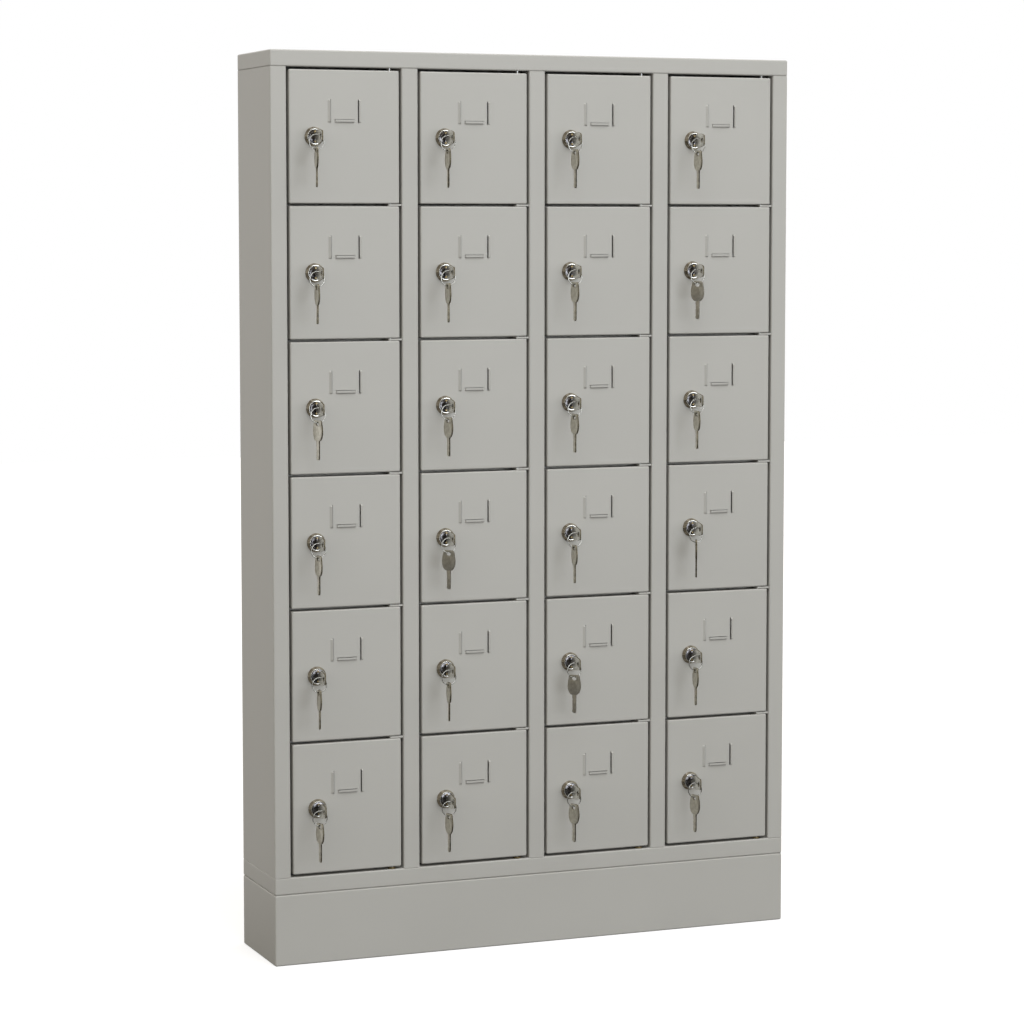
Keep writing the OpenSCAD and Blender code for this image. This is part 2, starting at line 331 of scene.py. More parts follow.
@dataclass(frozen=True)
class RubbedMetal:
    """Bare or plated metal with fine scratches along one axis and soft stains."""

    name: str
    bright: Colour
    dark: Colour
    roughness: float = 0.3
    grain: tuple[float, float, float] = (1.0, 0.08, 1.0)
    grain_width: float = 0.0003
    grain_depth: float = 0.000004
    stain_width: float = 0.004
    metallic: float = 1.0

    def build(self) -> bpy.types.Material:
        """Makes the material from its two colours, grain and stains.

        Returns:
            The material.
        """
        material = bpy.data.materials.new(self.name)
        graph = Graph(material)
        place = graph.place()
        grain = graph.noise(graph.stretched(place, self.grain), self.grain_width, detail=3.0)
        stain = graph.noise(place, self.stain_width)
        worn = (grain * 0.45 + stain * 0.55).spread(0.3, 0.7)
        graph.surface(
            Base_Color=graph.blended(worn, self.dark, self.bright),
            Metallic=self.metallic,
            Roughness=self.roughness + (grain - 0.5) * 0.2,
            Normal=graph.relief(grain, self.grain_depth),
        )
        return material


@dataclass(frozen=True)
class Finishes:
    """Every material of the cabinet, built once."""

    paint: bpy.types.Material
    nickel: bpy.types.Material
    rim: bpy.types.Material
    plug: bpy.types.Material
    brass: bpy.types.Material
    key_face: bpy.types.Material
    key_bright: bpy.types.Material
    key_edge: bpy.types.Material
    ring: bpy.types.Material
    zinc: bpy.types.Material

    @classmethod
    def build(cls) -> "Finishes":
        """Builds the materials.

        Returns:
            The finishes by what they dress.
        """
        fine = (1.0, 1.0, 1.0)
        return cls(
            paint=PowderCoat().build(),
            nickel=TurnedNickel().build(),
            # Bright metal for the bezel's rim edge, where its brightness is a painted highlight, and
            # for the plug's digits.
            rim=RubbedMetal(
                "bright_rim", (0.86, 0.85, 0.80), (0.62, 0.60, 0.55), 0.22
            ).build(),
            # Dark chrome; its darkness is partly painted dark reflection.
            plug=RubbedMetal(
                "dark_chrome_and_painted_reflection", (0.26, 0.25, 0.26), (0.05, 0.048, 0.05), 0.2
            ).build(),
            brass=RubbedMetal(
                "brass", (0.46, 0.36, 0.19), (0.22, 0.165, 0.08), 0.36, fine
            ).build(),
            key_face=RubbedMetal(
                "key_nickel", (0.82, 0.79, 0.70), (0.54, 0.51, 0.43), 0.40
            ).build(),
            # Lighter copy of the key nickel for the inserted keys: a painted highlight.
            key_bright=RubbedMetal(
                "key_nickel_painted_bright", (0.97, 0.96, 0.92), (0.84, 0.83, 0.78), 0.34
            ).build(),
            # Dark finish of the keys' edges: painted shade.
            key_edge=RubbedMetal(
                "key_edge_painted_shade", (0.30, 0.26, 0.18), (0.07, 0.06, 0.04), 0.5, fine,
                grain_width=0.0009, grain_depth=0.00012,
            ).build(),
            ring=RubbedMetal(
                "spring_steel", (0.52, 0.51, 0.47), (0.24, 0.23, 0.20), 0.24, fine
            ).build(),
            zinc=RubbedMetal(
                "bright_zinc", (0.66, 0.67, 0.68), (0.42, 0.43, 0.44), 0.3, fine
            ).build(),
        )


def shaded(mesh: bpy.types.Mesh, smooth: float) -> bpy.types.Mesh:
    """Shades a mesh smooth, with sharp edges at its bends.

    Args:
        mesh: The mesh.
        smooth: Greatest angle in degrees that is shaded as one surface.

    Returns:
        The same mesh.
    """
    mesh.polygons.foreach_set("use_smooth", [True] * len(mesh.polygons))
    mesh.set_sharp_from_angle(angle=math.radians(smooth))
    return mesh


def lifted(height: float) -> Matrix:
    """Shift along the Z axis."""
    return Matrix.Translation((0.0, 0.0, height))


def add_face(shape: bmesh.types.BMesh, places: Iterable[Sequence[float]]) -> None:
    """Adds one face with corners of its own."""
    shape.faces.new([shape.verts.new(place) for place in places])


def dressed(mesh: bpy.types.Mesh, *materials: bpy.types.Material) -> bpy.types.Mesh:
    """Gives a mesh its materials.

    Args:
        mesh: The mesh.
        *materials: Materials in the order of the mesh's numbers.

    Returns:
        The same mesh.
    """
    for material in materials:
        mesh.materials.append(material)
    return mesh


def finished_mesh(
    name: str,
    corners: Iterable[Sequence[float]],
    faces: Iterable[Sequence[int]],
    smooth: float = SMOOTH_ANGLE,
) -> bpy.types.Mesh:
    """Makes a clean mesh with smooth bends and sharp edges.

    Args:
        name: Name of the mesh.
        corners: Places of the corners, some of which may coincide.
        faces: Corner numbers of each face.
        smooth: Greatest angle in degrees that is shaded as one surface.

    Returns:
        The mesh, with its faces turned outward.
    """
    shape = bmesh.new()
    made = [shape.verts.new(corner) for corner in corners]
    for face in faces:
        shape.faces.new([made[i] for i in face])
    return mesh_from(name, shape, smooth)


def mesh_from(
    name: str, shape: bmesh.types.BMesh, smooth: float = SMOOTH_ANGLE
) -> bpy.types.Mesh:
    """Cleans a shape and turns it into a mesh.

    Args:
        name: Name of the mesh.
        shape: The shape, which is used up.
        smooth: Greatest angle in degrees that is shaded as one surface.

    Returns:
        The mesh.
    """
    bmesh.ops.remove_doubles(shape, verts=shape.verts, dist=MERGE)
    bmesh.ops.recalc_face_normals(shape, faces=shape.faces)
    mesh = bpy.data.meshes.new(name)
    shape.to_mesh(mesh)
    shape.free()
    return shaded(mesh, smooth)


def joined(name: str, parts: Iterable[tuple[bpy.types.Mesh, Matrix, int]]) -> bpy.types.Mesh:
    """Joins meshes into one.

    Args:
        name: Name of the new mesh.
        parts: Each mesh with its place and the number of its material.

    Returns:
        The joined mesh.
    """
    shape = bmesh.new()
    for mesh, place, material in parts:
        before = len(shape.faces)
        first = len(shape.verts)
        shape.from_mesh(mesh)
        shape.verts.ensure_lookup_table()
        shape.faces.ensure_lookup_table()
        bmesh.ops.transform(shape, matrix=place, verts=shape.verts[first:])
        for face in shape.faces[before:]:
            face.material_index = material
    mesh = bpy.data.meshes.new(name)
    shape.to_mesh(mesh)
    shape.free()
    return shaded(mesh, SMOOTH_ANGLE)


def left_of(direction: Vector) -> Vector:
    """Direction turned a quarter to the left."""
    return Vector((-direction.y, direction.x))


def sheet_section(path: Path, thickness: float, bend: float) -> Section:
    """Both faces of folded sheet whose outer face follows a path with left-hand square bends.

    Args:
        path: Corners of the outer face.
        thickness: Thickness of the sheet.
        bend: Outer radius of the bends.

    Returns:
        The points of the outer face and those of the inner face, in the same order.
    """
    corners = [Vector(corner) for corner in path]
    runs = [(b - a).normalized() for a, b in zip(corners, corners[1:])]
    places = [(corners[0], left_of(runs[0]))]
    for corner, before, after in zip(corners[1:-1], runs, runs[1:]):
        centre = corner + (after - before) * bend
        for step in range(BEND_STEPS + 1):
            angle = math.pi / 2 * step / BEND_STEPS
            inward = left_of(before) * math.cos(angle) + left_of(after) * math.sin(angle)
            places.append((centre - inward * bend, inward))
    places.append((corners[-1], left_of(runs[-1])))
    outer = [place for place, _ in places]
    return outer, [place + inward * thickness for place, inward in places]


def drawn_out(
    name: str, section: Section, axis: Axis, start: float, end: float
) -> bpy.types.Mesh:
    """Draws a section of folded sheet out to a length.

    Args:
        name: Name of the mesh.
        section: Outer and inner points of the section.
        axis: Direction of the length. X takes the section as (y, z) and Z as (x, y).
        start: Lower end.
        end: Upper end.

    Returns:
        The mesh of the sheet.
    """
    outer, inner = section
    loop = outer + inner[::-1]
    count = len(loop)

    def at(point: Vector, along: float) -> tuple[float, float, float]:
        """Place of a point of the section at one length."""
        x, y = point
        return (along, x, y) if axis is Axis.X else (x, y, along)

    corners = [at(point, start) for point in loop] + [at(point, end) for point in loop]
    faces = [(i, (i + 1) % count, (i + 1) % count + count, i + count) for i in range(count)]
    for base in (0, count):
        last = base + count - 1
        faces += [(base + i, base + i + 1, last - 1 - i, last - i) for i in range(len(outer) - 1)]
    return finished_mesh(name, corners, faces)


@dataclass(frozen=True)
class Box:
    """Outline on the floor or on a door, from a lower to an upper corner."""

    low: Pair
    high: Pair

    def ring(
        self, inset: float, radius: float, at: Sequence[Sequence[float]] = ((), ())
    ) -> list[Pair]:
        """Closed outline at a distance inside the box.

        Args:
            inset: Distance inside the box.
            radius: Radius of the box's own corners.
            at: Extra stations along the first and along the second direction.

        Returns:
            The points, anticlockwise from the lower left corner.
        """
        (x0, y0), (x1, y1) = self.low, self.high
        small = max(radius - inset, 0.0)
        deep = max(radius, inset)
        along, up = at
        sides = [
            [(x, y0 + inset) for x in along],
            [(x1 - inset, y) for y in up],
            [(x, y1 - inset) for x in reversed(along)],
            [(x0 + inset, y) for y in reversed(up)],
        ]
        east, west, south, north = x1 - deep, x0 + deep, y0 + deep, y1 - deep
        centres = [(east, south), (east, north), (west, north), (west, south)]
        points: list[Pair] = []
        for number, (side, centre) in enumerate(zip(sides, centres)):
            points += side
            for step in range(BEND_STEPS + 1):
                angle = math.pi / 2 * (number - 1 + step / BEND_STEPS)
                x, y = centre
                points.append((x + small * math.cos(angle), y + small * math.sin(angle)))
        return points


def lofted(
    name: str, rings: Sequence[Sequence[Sequence[float]]], closed: bool = False
) -> bpy.types.Mesh:
    """Skins a row of rings with the same number of points.

    Args:
        name: Name of the mesh.
        rings: Rings of points.
        closed: Whether the last ring joins the first. Otherwise both are filled.

    Returns:
        The mesh.
    """
    size = len(rings[0])
    corners = [point for ring in rings for point in ring]
    faces: list[tuple[int, ...]] = []
    for number in range(len(rings) if closed else len(rings) - 1):
        low = number * size
        high = (number + 1) % len(rings) * size
        for i in range(size):
            j = (i + 1) % size
            faces.append((low + i, low + j, high + j, high + i))
    if not closed:
        faces.append(tuple(range(size)))
        faces.append(tuple(range(len(corners) - size, len(corners))))
    return finished_mesh(name, corners, faces)


def turned(
    name: str, profile: Path, segments: int = 48, smooth: float = SMOOTH_ANGLE
) -> bpy.types.Mesh:
    """Turns a closed profile round the Z axis.

    Args:
        name: Name of the mesh.
        profile: Points as (radius, height), all off the axis or joined on it.
        segments: Facets round the axis.
        smooth: Greatest angle in degrees that is shaded as one surface.

    Returns:
        The mesh.
    """
    count = len(profile)
    corners = []
    for step in range(segments):
        angle = math.tau * step / segments
        corners += [(r * math.cos(angle), r * math.sin(angle), z) for r, z in profile]
    faces = []
    for step in range(segments):
        here = step * count
        there = (step + 1) % segments * count
        for i in range(count):
            j = (i + 1) % count
            faces.append((here + i, there + i, there + j, here + j))
    return finished_mesh(name, corners, faces, smooth)


def circle(radius: float, count: int = 48, centre: Pair = (0.0, 0.0)) -> list[Pair]:
    """Points of a circle."""
    turns = [math.tau * i / count for i in range(count)]
    return [(centre[0] + radius * math.cos(a), centre[1] + radius * math.sin(a)) for a in turns]


def softened(points: Path, radius: float) -> list[Pair]:
    """Rounds the corners of an outline.

    Args:
        points: Corners of a closed outline.
        radius: Distance from each corner at which its curve starts, where the sides allow it.

    Returns:
        The points of the rounded outline.
    """
    result: list[Pair] = []
    count = len(points)
    for i, point in enumerate(points):
        corner = Vector(point)
        before = Vector(points[i - 1]) - corner
        after = Vector(points[(i + 1) % count]) - corner
        reach = min(radius, before.length * 0.45, after.length * 0.45)
        first = corner + before.normalized() * reach
        last = corner + after.normalized() * reach
        for step in range(BEND_STEPS + 1):
            t = step / BEND_STEPS
            place = first * (1 - t) ** 2 + corner * 2 * t * (1 - t) + last * t * t
            result.append((place.x, place.y))
    return result


def mesh_of_curve(name: str, curve: bpy.types.Curve) -> bpy.types.Mesh:
    """Turns a curve or text into a mesh and removes the curve.

    Args:
        name: Name of the mesh.
        curve: The curve's data.

    Returns:
        The mesh.
    """
    holder = bpy.data.objects.new(name, curve)
    bpy.context.scene.collection.objects.link(holder)
    bpy.context.view_layer.update()
    ready = holder.evaluated_get(bpy.context.evaluated_depsgraph_get())
    mesh = bpy.data.meshes.new_from_object(ready)
    bpy.data.objects.remove(holder)
    bpy.data.curves.remove(curve)
    shape = bmesh.new()
    shape.from_mesh(mesh)
    bpy.data.meshes.remove(mesh)
    return mesh_from(name, shape)


def plate(name: str, outlines: Sequence[Path], thickness: float, edge: float) -> bpy.types.Mesh:
    """Flat plate with holes and eased edges, centred on z = 0.

    Args:
        name: Name of the mesh.
        outlines: The outline and then its holes.
        thickness: Full thickness.
        edge: Size of the rounding along every edge.

    Returns:
        The mesh.
    """
    curve = bpy.data.curves.new(name, "CURVE")
    curve.dimensions = "2D"
    curve.fill_mode = "BOTH"
    curve.extrude = thickness / 2 - edge
    curve.bevel_depth = edge
    curve.bevel_resolution = 1
    curve.offset = -edge
    for outline in outlines:
        spline = curve.splines.new("POLY")
        spline.points.add(len(outline) - 1)
        for point, place in zip(spline.points, outline):
            point.co = (place[0], place[1], 0.0, 1.0)
        spline.use_cyclic_u = True
    return mesh_of_curve(name, curve)


def hexagon(across: float) -> list[Pair]:
    """Corners of a hexagon by its width across the flats."""
    return circle(across / 2 / math.cos(math.pi / 6), 6)


def add_piece(
    name: str,
    mesh: bpy.types.Mesh,
    body: str,
    nodes: Sequence[str],
    place: Matrix | None = None,
    flat: bool = False,
) -> bpy.types.Object:
    """Puts a mesh in the scene as a piece that rides on a body.

    Args:
        name: Name of the piece.
        mesh: Its dressed mesh, which other pieces may share.
        body: Body that carries it.
        nodes: Nodes of the frame that it stands for.
        place: Its place, or none for a mesh that is already in place.
        flat: Whether its large faces keep their own plane's shading.

    Returns:
        The piece.
    """
    piece = bpy.data.objects.new(name, mesh)
    bpy.context.scene.collection.objects.link(piece)
    if place is not None:
        piece.matrix_world = place
    if flat:
        weighted = piece.modifiers.new("flat_faces", "WEIGHTED_NORMAL")
        weighted.keep_sharp = True
        weighted.weight = 100
    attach(piece, body)
    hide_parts(*nodes)
    log.info("%s: %d faces, on %s", name, len(mesh.polygons), body)
    return piece


@dataclass(frozen=True)
class DoorPlace:
    """Where one door is."""

    row: int
    column: int
    left: float
    bottom: float
    width: float
    height: float
    lock: Vector
    hinge: Vector

    @property
    def label(self) -> str:
        """Short name by row and column."""
        return f"r{self.row}c{self.column}"


@dataclass(frozen=True)
class Layout:
    """Places of the cabinet's parts, read from the frame."""

    left: float
    right: float
    front: float
    back: float
    plinth_top: float
    tray_top: float
    cover_bottom: float
    top: float
    stile: float
    fold: float
    doors: tuple[DoorPlace, ...]

    @classmethod
    def read(cls) -> "Layout":
        """Reads the places from the frame.

        Returns:
            The layout.
        """
        low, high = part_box("side_panel_left")
        _, cover_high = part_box("top_cover")
        tray_low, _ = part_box("bottom_tray")
        joints = {joint["name"]: Vector(joint["pos_m"]) for joint in frame["joints"]}
        mullion_low, mullion_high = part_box("mullions")
        doors = []
        for node in sorted(frame["nodes"]):
            if not node.startswith("door_r"):
                continue
            label = node.removeprefix("door_")
            row, column = (int(part) for part in label[1:].split("c"))
            d_low, d_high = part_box(node)
            place = DoorPlace(
                row, column, d_low.x, d_low.z, d_high.x - d_low.x, d_high.z - d_low.z,
                joints[f"{label}_lock"], joints[f"{label}_door"],
            )
            doors.append(place)
        return cls(
            left=low.x, right=-low.x, front=low.y, back=high.y, plinth_top=tray_low.z,
            tray_top=low.z, cover_bottom=high.z, top=cover_high.z, stile=high.x - low.x,
            fold=mullion_high.y - mullion_low.y, doors=tuple(doors),
        )

    def row(self, number: int) -> list[DoorPlace]:
        """Doors of one row, from the left."""
        return sorted((d for d in self.doors if d.row == number), key=lambda d: d.column)

    @property
    def rows(self) -> int:
        """Number of rows."""
        return max(door.row for door in self.doors)

    @property
    def gap(self) -> float:
        """Gap between one door and the next below it."""
        upper, lower = (self.row(number)[0] for number in (1, 2))
        return upper.bottom - lower.bottom - lower.height

    def mullions(self) -> list[float]:
        """Centre of each mullion, midway between neighbouring doors."""
        row = self.row(1)
        return [(a.left + a.width + b.left) / 2 for a, b in zip(row, row[1:])]


@dataclass
class Casing:
    """Fixed sheet metal: panels, cover, tray, plinth, mullions, partitions, shelves and back."""

    layout: Layout
    paint: bpy.types.Material
    sheet: float = 0.0012
    bend: float = 0.0017
    lip: float = 0.014
    angle_leg: float = 0.007
    seat: float = 0.00005
    shelf_set: float = 0.020
    shelf_fold: float = 0.012
    wall_hole: float = 0.008
    hole_edge: float = 0.0002

    def build(self) -> None:
        """Makes every piece of the casing."""
        self._side_panel("side_panel_left", Side.LEFT)
        self._side_panel("side_panel_right", Side.RIGHT)
        self._tray("top_cover", self.layout.top, self.layout.cover_bottom)
        self._tray("bottom_tray", self.layout.tray_top, self.layout.plinth_top)
        self._plinth()
        self._mullions()
        self._partitions()
        self._shelves()
        self._back_panel()

    def _add(self, name: str, mesh: bpy.types.Mesh) -> None:
        """Adds a painted piece that stands for the node of its own name."""
        add_piece(name, dressed(mesh, self.paint), "cabinet", [name], flat=True)

    def _side_panel(self, name: str, side: Side) -> None:
        """Side panel with its front stile and rear flange.

        Args:
            name: Name of the piece.
            side: Side that it closes.
        """
        at = self.layout
        path = [
            (at.left + self.lip, at.back), (at.left, at.back), (at.left, at.front),
            (at.left + at.stile, at.front), (at.left + at.stile, at.front + at.fold),
        ]
        section = sheet_section(path, self.sheet, self.bend)
        mesh = drawn_out(name, section, Axis.Z, at.tray_top, at.cover_bottom)
        if side is Side.RIGHT:
            mesh.transform(Matrix.Scale(-1.0, 4, (1.0, 0.0, 0.0)))
            mesh.flip_normals()
        self._add(name, mesh)

    def _rimmed(self, name: str, path: Path, closed: bool = False) -> None:
        """Adds sheet folded along a path and carried round the cabinet's outline.

        Args:
            name: Name of the piece.
            path: Corners of the outer face, as distance inside the outline and height.
            closed: Whether the middle stays open.
        """
        at = self.layout
        outline = Box((at.left, at.front), (at.right, at.back))
        outer, inner = sheet_section(path, self.sheet, self.bend)
        rings = [
            [(x, y, point.y) for x, y in outline.ring(point.x, self.bend)]
            for point in outer + inner[::-1]
        ]
        self._add(name, lofted(name, rings, closed))

    def _tray(self, name: str, plate_z: float, lip_z: float) -> None:
        """Tray with a flat plate on top, a rim all round and a lip folded inward below it.

        Args:
            name: Name of the piece.
            plate_z: Height of the plate's upper face.
            lip_z: Height of the lip's lower face.
        """
        path = [(self.lip * 2, plate_z), (0.0, plate_z), (0.0, lip_z), (self.lip, lip_z)]
        self._rimmed(name, path)

    def _plinth(self) -> None:
        """Plinth: four walls with a lip folded inward at the top and at the bottom."""
        top = self.layout.plinth_top
        self._rimmed("plinth", [(self.lip, top), (0.0, top), (0.0, 0.0), (self.lip, 0.0)], True)

    def _mullions(self) -> None:
        """Channels that close the front between the columns."""
        at = self.layout
        first = at.row(1)[0]
        centres = at.mullions()
        half = centres[0] - (first.left + first.width) - at.gap
        inner = at.front + at.fold
        path = [(-half, inner), (-half, at.front), (half, at.front), (half, inner)]
        section = sheet_section(path, self.sheet, self.bend)
        channel = drawn_out("mullion", section, Axis.Z, at.tray_top, at.cover_bottom)
        parts = [(channel, Matrix.Translation((x, 0.0, 0.0)), 0) for x in centres]
        self._add("mullions", joined("mullions", parts))

    def _partitions(self) -> None:
        """Flat sheets behind the mullions, each with a tongue in the cover and a front angle."""
        at = self.layout
        half = self.sheet / 2
        near = half + self.seat
        behind = at.front + self.sheet
        low, high, top = at.tray_top, at.cover_bottom, at.top - self.sheet
        shapes = [
            ([(-half, at.back - 2 * self.sheet), (-half, behind)], low, high),
            ([(-half, at.back - self.lip), (-half, at.front + self.lip)], high, top),
            ([(near, behind + self.angle_leg), (near, behind), (self.angle_leg, behind)], low, high),
        ]
        parts = []
        for path, start, end in shapes:
            section = sheet_section(path, self.sheet, self.bend)
            mesh = drawn_out("partition", section, Axis.Z, start, end)
            parts += [(mesh, Matrix.Translation((x, 0.0, 0.0)), 0) for x in at.mullions()]
        self._add("partitions", joined("partitions", parts))

    def _shelves(self) -> None:
        """Shelves between the rows, each with its front edge folded down."""
        at = self.layout
        middles = at.mullions()
        lefts = [at.left + self.sheet] + [x + self.sheet / 2 for x in middles]
        rights = [x - self.sheet / 2 for x in middles] + [at.right - self.sheet]
        back = at.back - 2 * self.sheet
        nose = at.front + self.shelf_set
        parts = []
        for row in range(1, at.rows):
            under = at.row(row)[0].bottom - (at.gap + self.sheet) / 2
            upper = under + self.sheet
            path = [(back, upper), (nose, upper), (nose, under - self.shelf_fold)]
            section = sheet_section(path, self.sheet, self.bend)
            for low, high in zip(lefts, rights):
                shelf = drawn_out("shelf", section, Axis.X, low, high)
                parts.append((shelf, UNMOVED, 0))
        self._add("shelves", joined("shelves", parts))

    def _back_panel(self) -> None:
        """Back sheet with four wall fixing holes."""
        at = self.layout
        low = (at.left + self.sheet, at.tray_top)
        high = (at.right - self.sheet, at.cover_bottom)
        outline = [low, (high[0], low[1]), high, (low[0], high[1])]
        corners = [door for door in at.doors if door.row in (1, at.rows)]
        columns = (min(d.column for d in corners), max(d.column for d in corners))
        holes = [
            circle(self.wall_hole / 2, 32, (door.left + door.width / 2, door.lock.z))
            for door in corners if door.column in columns
        ]
        mesh = plate("back_panel", [outline, *holes], self.sheet, self.hole_edge)
        mesh.transform(Matrix.Translation((0.0, at.back - 1.5 * self.sheet, 0.0)) @ UPRIGHT)
        self._add("back_panel", mesh)


@dataclass
class Hinges:
    """Painted tabs in the gaps between doors, with their pins and the lowest doors' washers."""

    layout: Layout
    paint: bpy.types.Material
    zinc: bpy.types.Material
    brass: bpy.types.Material
    tab_depth: float = 0.011
    tab_thick: float = 0.002
    tab_air: float = 0.0003
    tab_set: float = 0.0005
    tab_reach: float = 0.0155
    tab_corner: float = 0.0015
    tab_edge: float = 0.0003
    pin_radius: float = 0.002
    pin_reach: float = 0.0042
    head_radius: float = 0.00325
    head_thick: float = 0.0015
    washer_radius: float = 0.00425
    chamfer: float = 0.0004
    sheet: float = 0.0012

    def build(self) -> None:
        """Makes the tabs, the pins and the washers."""
        self._tabs()
        self._pins()
        self._washers()

    def _tabs(self) -> None:
        """Plates under the doors, each with a rounded front corner and a hole for its pin."""
        at = self.layout
        parts = []
        for door in at.doors:
            if door.row == at.rows:
                continue
            right = door.left + door.width + at.gap
            low = at.front + self.tab_set
            corners = [
                (right - self.tab_reach, low), (right, low),
                (right, low + self.tab_depth), (right - self.tab_reach, low + self.tab_depth),
            ]
            outline = softened(corners, self.tab_corner)
            hole = circle(self.pin_radius, 32, (door.hinge.x, door.hinge.y))
            height = door.bottom - at.gap + self.tab_air + self.tab_thick / 2
            flat = plate("hinge_tab", [outline, hole], self.tab_thick, self.tab_edge)
            parts.append((flat, lifted(height), 0))
        mesh = dressed(joined("hinge_tabs", parts), self.paint)
        add_piece("hinge_tabs", mesh, "cabinet", ["hinge_tabs"], flat=True)

    def _pin(self, start: float, end: float, head: float | None = None) -> bpy.types.Mesh:
        """Pin with chamfered ends.

        Args:
            start: Lower end.
            end: Upper end.
            head: Height of the flat head's outer face at one of the ends, if it has one.

        Returns:
            The mesh, on the Z axis.
        """
        soft = self.chamfer
        r = self.pin_radius
        profile = [
            (0.0, start), (r - soft, start), (r, start + soft),
            (r, end - soft), (r - soft, end), (0.0, end),
        ]
        if head is not None:
            wide = self.head_radius
            if head > end:
                profile[3:] = [
                    (r, end), (wide, end), (wide, head - soft), (wide - soft, head), (0.0, head),
                ]
            else:
                profile[:3] = [
                    (0.0, head), (wide - soft, head), (wide, head + soft), (wide, start), (r, start),
                ]
        return turned("pin", profile, 32)

    def _pins(self) -> None:
        """Pins between neighbouring doors, and headed pins at the top and the bottom."""
        at = self.layout
        parts = []
        for door in at.doors:
            place = Matrix.Translation((door.hinge.x, door.hinge.y, 0.0))
            if door.row == 1:
                top = at.cover_bottom + self.sheet
                low = door.bottom + door.height - self.pin_reach
                parts.append((self._pin(low, top, top + self.head_thick), place, 0))
            if door.row == at.rows:
                floor = at.tray_top - self.sheet
                headed = self._pin(floor, door.bottom + self.pin_reach, floor - self.head_thick)
                parts.append((headed, place, 0))
            else:
                low = door.bottom - at.gap - self.pin_reach
                parts.append((self._pin(low, door.bottom + self.pin_reach), place, 0))
        mesh = dressed(joined("hinge_pins", parts), self.zinc)
        add_piece("hinge_pins", mesh, "cabinet", ["hinge_pins"])

    def _washers(self) -> None:
        """Brass washers that carry the lowest doors."""
        at = self.layout
        soft = self.chamfer
        thick = at.gap - 2 * self.tab_air
        inner, outer = self.pin_radius, self.washer_radius
        profile = [
            (inner, 0.0), (outer - soft, 0.0), (outer, soft), (outer, thick - soft),
            (outer - soft, thick), (inner, thick),
        ]
        ring = turned("washer", profile, 40)
        parts = [
            (ring, Matrix.Translation((door.hinge.x, door.hinge.y, at.tray_top)), 0)
            for door in at.row(at.rows)
        ]
        mesh = dressed(joined("hinge_washers", parts), self.brass)
        add_piece("hinge_washers", mesh, "cabinet", ["hinge_washers"])


@dataclass(frozen=True)
class CardTab:
    """Pressed tab on a door: a lip bent out of the sheet, with a slot along its free side."""

    low: Pair
    high: Pair
    mouth: Mouth
    slot: float
    slope: float

    @property
    def width(self) -> float:
        """Distance from the bent side to the slot's far side."""
        return self.high[1] - self.low[1] if self.mouth is Mouth.UP else self.high[0] - self.low[0]

    @property
    def free_edge(self) -> float:
        """Place of the lip's free edge.

        Returns:
            The place across the door, or up the door where the mouth is upward.
        """
        if self.mouth is Mouth.UP:
            return self.high[1] - self.slot
        return self.high[0] - self.slot if self.mouth is Mouth.RIGHT else self.low[0] + self.slot

    def across(self, x: float, z: float) -> tuple[float, float, float]:
        """Distance from the bent side and from both ends.

        Args:
            x: Place across the door.
            z: Place up the door.

        Returns:
            The distance from the bent side, from the first end and from the last end.
        """
        if self.mouth is Mouth.UP:
            return z - self.low[1], x - self.low[0], self.high[0] - x
        aside = x - self.low[0] if self.mouth is Mouth.RIGHT else self.high[0] - x
        return aside, z - self.low[1], self.high[1] - z

    def holds(self, x: float, z: float) -> bool:
        """Whether a place lies inside the tab or its slot."""
        return self.low[0] < x < self.high[0] and self.low[1] < z < self.high[1]

    def open_at(self, x: float, z: float) -> bool:
        """Whether a place of the tab lies in its slot."""
        return self.across(x, z)[0] > self.width - self.slot


def smooth_rise(value: float) -> float:
    """Soft step from 0 to 1 as the value goes from 0 to 1."""
    value = min(max(value, 0.0), 1.0)
    return value * value * (3.0 - 2.0 * value)


